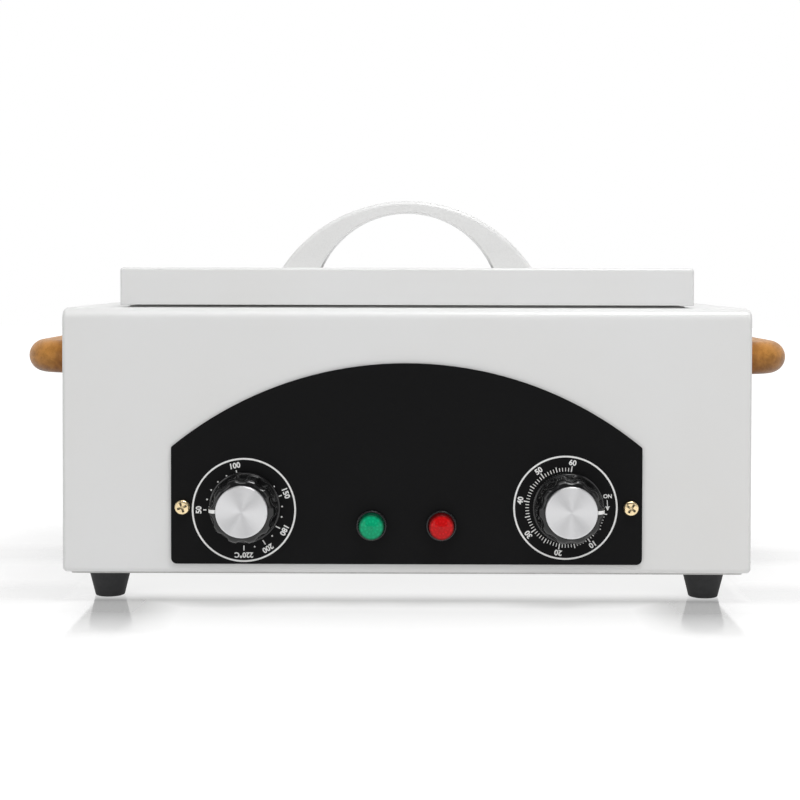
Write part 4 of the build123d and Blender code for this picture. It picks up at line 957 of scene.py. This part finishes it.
# ---- lamps ----
class STERILIZER_OT_lamps(bpy.types.Operator):
    """Make the two prismatic lenses and finish their bezels and bulbs"""
    bl_idname = "sterilizer.lamps"
    bl_label = "Lamps"

    def execute(self, context):
        looks = settings("lamps")
        bezel = moulding("bezel_black_moulding", tuple(looks.bezel), 0.24)
        for colour, tint in (("green", looks.green), ("red", looks.red)):
            node = colour + "_lamp_lens"
            middle = centre_of(node)
            glass = lamp_lens(colour + "_lens_plastic", tuple(tint), looks.glow, middle, looks.facets)
            dress(self.lens(node), glass, body_of(node))
            give(bezel, colour + "_lamp_bezel")
            give(moulding(colour + "_lamp_cream", (0.55, 0.50, 0.40), 0.45), colour + "_lamp_body")
        give(clear_bulb("bulb_glass_clear"), "lamp_bulbs")
        give(frame_metal("zinc"), "lamp_nuts")
        return {"FINISHED"}

    def lens(self, node):
        """A tapered cap with a soft shoulder, a shallow dome and an inner wall."""
        low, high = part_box(node)
        base = (high.x - low.x) / 2
        reach = high.y - low.y
        front = base - 0.55 * MM
        shoulder = 0.9 * MM
        dome = 1.3 * MM
        wall = 1.3 * MM
        profile = [(base - wall, 0.0), (base, 0.0)]
        straight = reach - dome - shoulder * 0.6
        for step in range(1, 7):
            share = step / 6
            profile.append((base + (front - base) * share, straight * share))
        for angle in (18, 36, 54, 72):
            turn = math.radians(angle)
            profile.append((front - shoulder * (1 - math.cos(turn)),
                            straight + shoulder * 0.6 * math.sin(turn)))
        edge = front - shoulder
        for step in range(0, 8):
            share = step / 8
            profile.append((edge * (1 - share), reach - dome * (1 - share) ** 2))
        profile.append((0.02 * MM, reach))
        sides = 72
        rings = [[(r * math.cos(2 * math.pi * i / sides), r * math.sin(2 * math.pi * i / sides), h)
                  for i in range(sides)] for r, h in profile]
        outer = shell_from_rings(node + "_prisms", rings, seat_of(node), 40)
        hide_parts(node)
        return outer


# ---- wood ----
class STERILIZER_OT_side_handles(bpy.types.Operator):
    """Varnish the bent wooden side handles"""
    bl_idname = "sterilizer.side_handles"
    bl_label = "Side Handles"

    def execute(self, context):
        looks = settings("wood")
        low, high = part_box("left_side_handle")
        wood = varnished_wood(tuple(looks.light), tuple(looks.dark), low.z, high.z)
        give(wood, "left_side_handle", "right_side_handle")
        give(frame_metal("zinc"), "side_handle_screws")
        return {"FINISHED"}


# ---- inside, underneath and behind ----
class STERILIZER_OT_chamber(bpy.types.Operator):
    """Finish the chamber, the tray, the liner and the seal"""
    bl_idname = "sterilizer.chamber"
    bl_label = "Chamber and Tray"

    def execute(self, context):
        steel = tuple(settings("metal").stainless)
        give(frame_metal("stainless"), "inner_chamber")
        give(bright_metal("tray_stainless", steel, 0.27, 0.09, (0.05, 1, 1), 1400.0), "tray")
        give(bright_metal("liner_stainless", steel, 0.32, 0.1, (1, 0.05, 1), 1400.0), "lid_liner")
        give(bright_metal("tray_wire_stainless", steel, 0.2, 0.06), "tray_handles")
        give(rubber("seal_grey_silicone", (0.23, 0.23, 0.235)), "lid_gasket")
        give(glass_wool((0.66, 0.60, 0.42)), "lid_insulation", "side_insulation", "floor_insulation")
        give(frame_metal("zinc"), "lid_liner_screws", "heater_pan", "heater_clips", "pan_nuts")
        give(bright_metal("heater_sheath", (0.16, 0.13, 0.11), 0.5, 0.12, scale=500.0), "heating_element")
        return {"FINISHED"}


class STERILIZER_OT_rear(bpy.types.Operator):
    """Finish the hinges, the mains inlet and the base"""
    bl_idname = "sterilizer.rear"
    bl_label = "Hinges, Inlet and Base"

    def execute(self, context):
        looks = settings("metal")
        give(bright_metal("hinge_plate", tuple(looks.zinc), 0.3, 0.1, (1, 1, 0.08), 900.0),
             "hinge_bases", "hinge_leaves")
        give(frame_metal("zinc"), "hinge_pins", "hinge_base_screws", "hinge_leaf_screws", "base_screws",
             "inlet_screws")
        give(galvanised("bright_zinc_sheet", tuple(looks.sheet)), "base_plate")
        give(moulding("inlet_black_moulding", (0.011, 0.011, 0.012), 0.42), "power_inlet")
        give(bright_metal("inlet_pin_nickel", (0.72, 0.70, 0.66), 0.2, 0.06), "inlet_pins")
        return {"FINISHED"}


class STERILIZER_OT_works(bpy.types.Operator):
    """Finish the controls and the wiring inside the cabinet"""
    bl_idname = "sterilizer.works"
    bl_label = "Controls and Wiring"

    def execute(self, context):
        for dial in ("thermostat", "timer"):
            give(moulding(dial + "_cream", (0.60, 0.54, 0.42), 0.45), dial + "_body")
        give(frame_metal("copper"), "thermostat_capillary")
        give(frame_metal("zinc"), "control_nuts")
        give(moulding("terminal_cream", (0.66, 0.62, 0.52), 0.4), "terminal_block")
        give(bright_metal("terminal_brass", (0.80, 0.62, 0.28), 0.3), "terminal_screws")
        give(coloured_leads((0.16, 0.06, 0.025), (0.02, 0.09, 0.34), (0.18, 0.30, 0.03)), "wiring")
        return {"FINISHED"}


# ---- stage ----
FLOOR_GREY = (0.45, 0.45, 0.45)
FLOOR_GLOW = (0.76, 0.98)
FLOOR_BOUNCE = (0.88, 0.88, 0.88)
FEET_LINES = (("X", 0.150), ("Y", 0.058))
NEAR_FEET = (0.012, 0.036)
MIRROR_START = (-0.050, -0.028)
MIRROR_END = (0.0, 0.14)
MIRROR_FALL = 1.6
MIRROR_GAIN = 1.3
SIDE_LIGHT = 0.15


class STERILIZER_OT_stage(bpy.types.Operator):
    """Set the white floor, the lights and the camera"""
    bl_idname = "sterilizer.stage"
    bl_label = "Stage"

    def execute(self, context):
        studio = settings("studio")
        scene = context.scene
        scene.view_settings.view_transform = "Standard"
        self.floor()
        self.room(studio.ambient)
        self.lamp("overhead_light", (0.06, -0.42, 1.05), (0.0, 0.02, 0.10), (0.95, 0.5), studio.overhead)
        self.lamp("glint_light", (0.26, -0.36, 1.02), (0.0, -0.05, 0.06), (0.40, 0.16), studio.glint)
        for side, share in ((-1, 0.63), (1, 0.37)):
            self.lamp("front_light", (1.25 * side, -1.35, 0.62), (0.05 * side, 0.0, 0.09), (0.8, 1.1),
                      studio.front * share)
        self.camera(studio)
        return {"FINISHED"}

    def floor(self):
        """A plain white floor that takes a shadow and a faint reflection."""
        half = 4.0
        corners = [(-half, -half, 0), (half, -half, 0), (half, half, 0), (-half, half, 0)]
        floor = mesh_object("studio_floor", corners, [(0, 1, 2, 3)])
        s = Shader("floor_white", FLOOR_GREY, 0.9)
        place = s.split(s.position)
        lit = s.node("Emission")
        s.link(s.span(s.length(s.position), 0.3, 1.6, *FLOOR_GLOW), lit.inputs["Strength"])
        matt = s.node("BsdfDiffuse", Color=(*FLOOR_GREY, 1))
        white = s.feed(s.node("AddShader"), matt.outputs[0], lit.outputs[0])[0]
        sheen = s.node("BsdfGlossy", Roughness=0.07).outputs[0]
        beside, before = (s.math("SUBTRACT", s.math("ABSOLUTE", place[axis]), reach)
                          for axis, reach in (("X", CAD_BOX[1].x), ("Y", CAD_BOX[1].y)))
        away = s.math("MAXIMUM", beside, before)
        fade = s.math("MULTIPLY", s.span(away, *MIRROR_START, 0.0, 1.0), s.span(away, *MIRROR_END, 1.0, 0.0))
        grazing = s.node("LayerWeight", Blend=0.5).outputs["Facing"]
        polish = s.math("MULTIPLY", s.math("POWER", grazing, 3.0), MIRROR_GAIN)
        past_feet = s.math("MINIMUM", *(self.off_feet(s, place[axis], middle) for axis, middle in FEET_LINES))
        polish = s.math("MULTIPLY", polish, s.span(past_feet, *NEAR_FEET, 1.0, 0.5))
        polish = s.math("MULTIPLY", polish, s.math("POWER", fade, MIRROR_FALL))
        look = s.feed(s.node("MixShader"), polish, white, sheen)[0]
        bounce = s.node("BsdfDiffuse", Color=(*FLOOR_BOUNCE, 1)).outputs[0]
        path = s.node("LightPath").outputs
        seen = s.math("MAXIMUM", path["Is Camera Ray"], path["Is Glossy Ray"])
        seen = s.math("MAXIMUM", seen, path["Is Transmission Ray"])
        whole = s.feed(s.node("MixShader"), seen, bounce, look)[0]
        s.link(whole, s.tree.nodes["Material Output"].inputs["Surface"])
        s.tree.nodes.remove(s.bsdf)
        floor.data.materials.append(s.material)
        return floor

    def off_feet(self, s, along, middle):
        """How far a floor point lies from the line of the feet, along one axis."""
        return s.math("ABSOLUTE", s.math("SUBTRACT", s.math("ABSOLUTE", along), middle))

    def room(self, ambient):
        """Even light from all round, dimmer from the sides, seen as white."""
        world = bpy.data.worlds.new("studio_room")
        bpy.context.scene.world = world
        world.use_nodes = True
        s = Nodes(world.node_tree)
        path = s.node("LightPath").outputs
        toward = s.split(s.node("TexCoord").outputs["Generated"])
        level = s.span(toward["Z"], 0.05, 0.42, 0.9, 0.0)
        open_side = s.math("ADD", toward["Y"], level)
        glossy = s.math("MULTIPLY", path["Is Glossy Ray"], s.span(open_side, -0.1, 0.35, 0.16, 1.0))
        seen = s.math("MAXIMUM", path["Is Camera Ray"], glossy)
        seen = s.math("MAXIMUM", seen, path["Is Transmission Ray"])
        dimmer = s.span(s.math("ABSOLUTE", toward["X"]), 0.15, 0.85, ambient, ambient * SIDE_LIGHT)
        plain = s.math("MULTIPLY", path["Is Diffuse Ray"], dimmer)
        back = s.tree.nodes["Background"]
        s.link(s.math("ADD", seen, plain), back.inputs["Strength"])
        back.inputs["Color"].default_value = (1, 1, 1, 1)

    def lamp(self, name, place, aim, size, power):
        light = bpy.data.lights.new(name, "AREA")
        light.shape = "RECTANGLE"
        light.size, light.size_y = size
        light.energy = power
        obj = bpy.data.objects.new(name, light)
        obj.location = place
        obj.rotation_euler = (Vector(aim) - Vector(place)).to_track_quat("-Z", "Y").to_euler()
        bpy.context.scene.collection.objects.link(obj)

    def camera(self, studio):
        lens = bpy.data.cameras.new("studio_camera")
        lens.lens = studio.lens
        lens.sensor_width = 36.0
        lens.shift_y = studio.camera_rise
        lens.clip_start = 0.01
        lens.clip_end = 20.0
        camera = bpy.data.objects.new("studio_camera", lens)
        tilt, roll, turn = studio.camera_turn
        camera.location = studio.camera_place
        facing = Matrix.Rotation(turn, 4, "Z") @ Matrix.Rotation(math.radians(90) - tilt, 4, "X")
        camera.rotation_euler = (facing @ Matrix.Rotation(roll, 4, "Z")).to_euler()
        bpy.context.scene.collection.objects.link(camera)
        bpy.context.scene.camera = camera


# ---- add-on ----
GROUPS = {
    "cabinet": SterilizerCabinetLooks,
    "print": SterilizerPanelPrint,
    "knobs": SterilizerKnobShape,
    "lamps": SterilizerLampLooks,
    "wood": SterilizerWoodLooks,
    "metal": SterilizerMetalLooks,
    "studio": SterilizerStudio,
}
OPERATORS = (
    STERILIZER_OT_stage,
    STERILIZER_OT_cabinet,
    STERILIZER_OT_lid_handle,
    STERILIZER_OT_feet,
    STERILIZER_OT_panel,
    STERILIZER_OT_dials,
    STERILIZER_OT_knobs,
    STERILIZER_OT_lamps,
    STERILIZER_OT_side_handles,
    STERILIZER_OT_chamber,
    STERILIZER_OT_rear,
    STERILIZER_OT_works,
)


class STERILIZER_PT_sidebar(bpy.types.Panel):
    """Lists the sterilizer's pieces and what can be changed"""
    bl_idname = "STERILIZER_PT_sidebar"
    bl_label = "Dry Heat Sterilizer"
    bl_space_type = "VIEW_3D"
    bl_region_type = "UI"
    bl_category = "Sterilizer"

    def draw(self, context):
        for operator in OPERATORS:
            self.layout.operator(operator.bl_idname)
        for label, group in GROUPS.items():
            box = self.layout.box()
            box.label(text=label.title())
            for setting in group.__annotations__:
                box.prop(settings(label), setting)


def register():
    for label, group in GROUPS.items():
        bpy.utils.register_class(group)
        setattr(bpy.types.Scene, "sterilizer_" + label, bpy.props.PointerProperty(type=group))
    for operator in OPERATORS:
        bpy.utils.register_class(operator)
    bpy.utils.register_class(STERILIZER_PT_sidebar)


def unregister():
    bpy.utils.unregister_class(STERILIZER_PT_sidebar)
    for operator in reversed(OPERATORS):
        bpy.utils.unregister_class(operator)
    for label, group in reversed(GROUPS.items()):
        delattr(bpy.types.Scene, "sterilizer_" + label)
        bpy.utils.unregister_class(group)


def write_sizes():
    def plain(box):
        return [[float(n) for n in corner] for corner in box]


def main():
    register()
    for operator in OPERATORS:
        group, name = operator.bl_idname.split(".")
        result = getattr(getattr(bpy.ops, group), name)()
        if result != {"FINISHED"}:
            raise RuntimeError(operator.bl_label + " didn't finish")
    write_sizes()


if __name__ == "__main__":
    main()
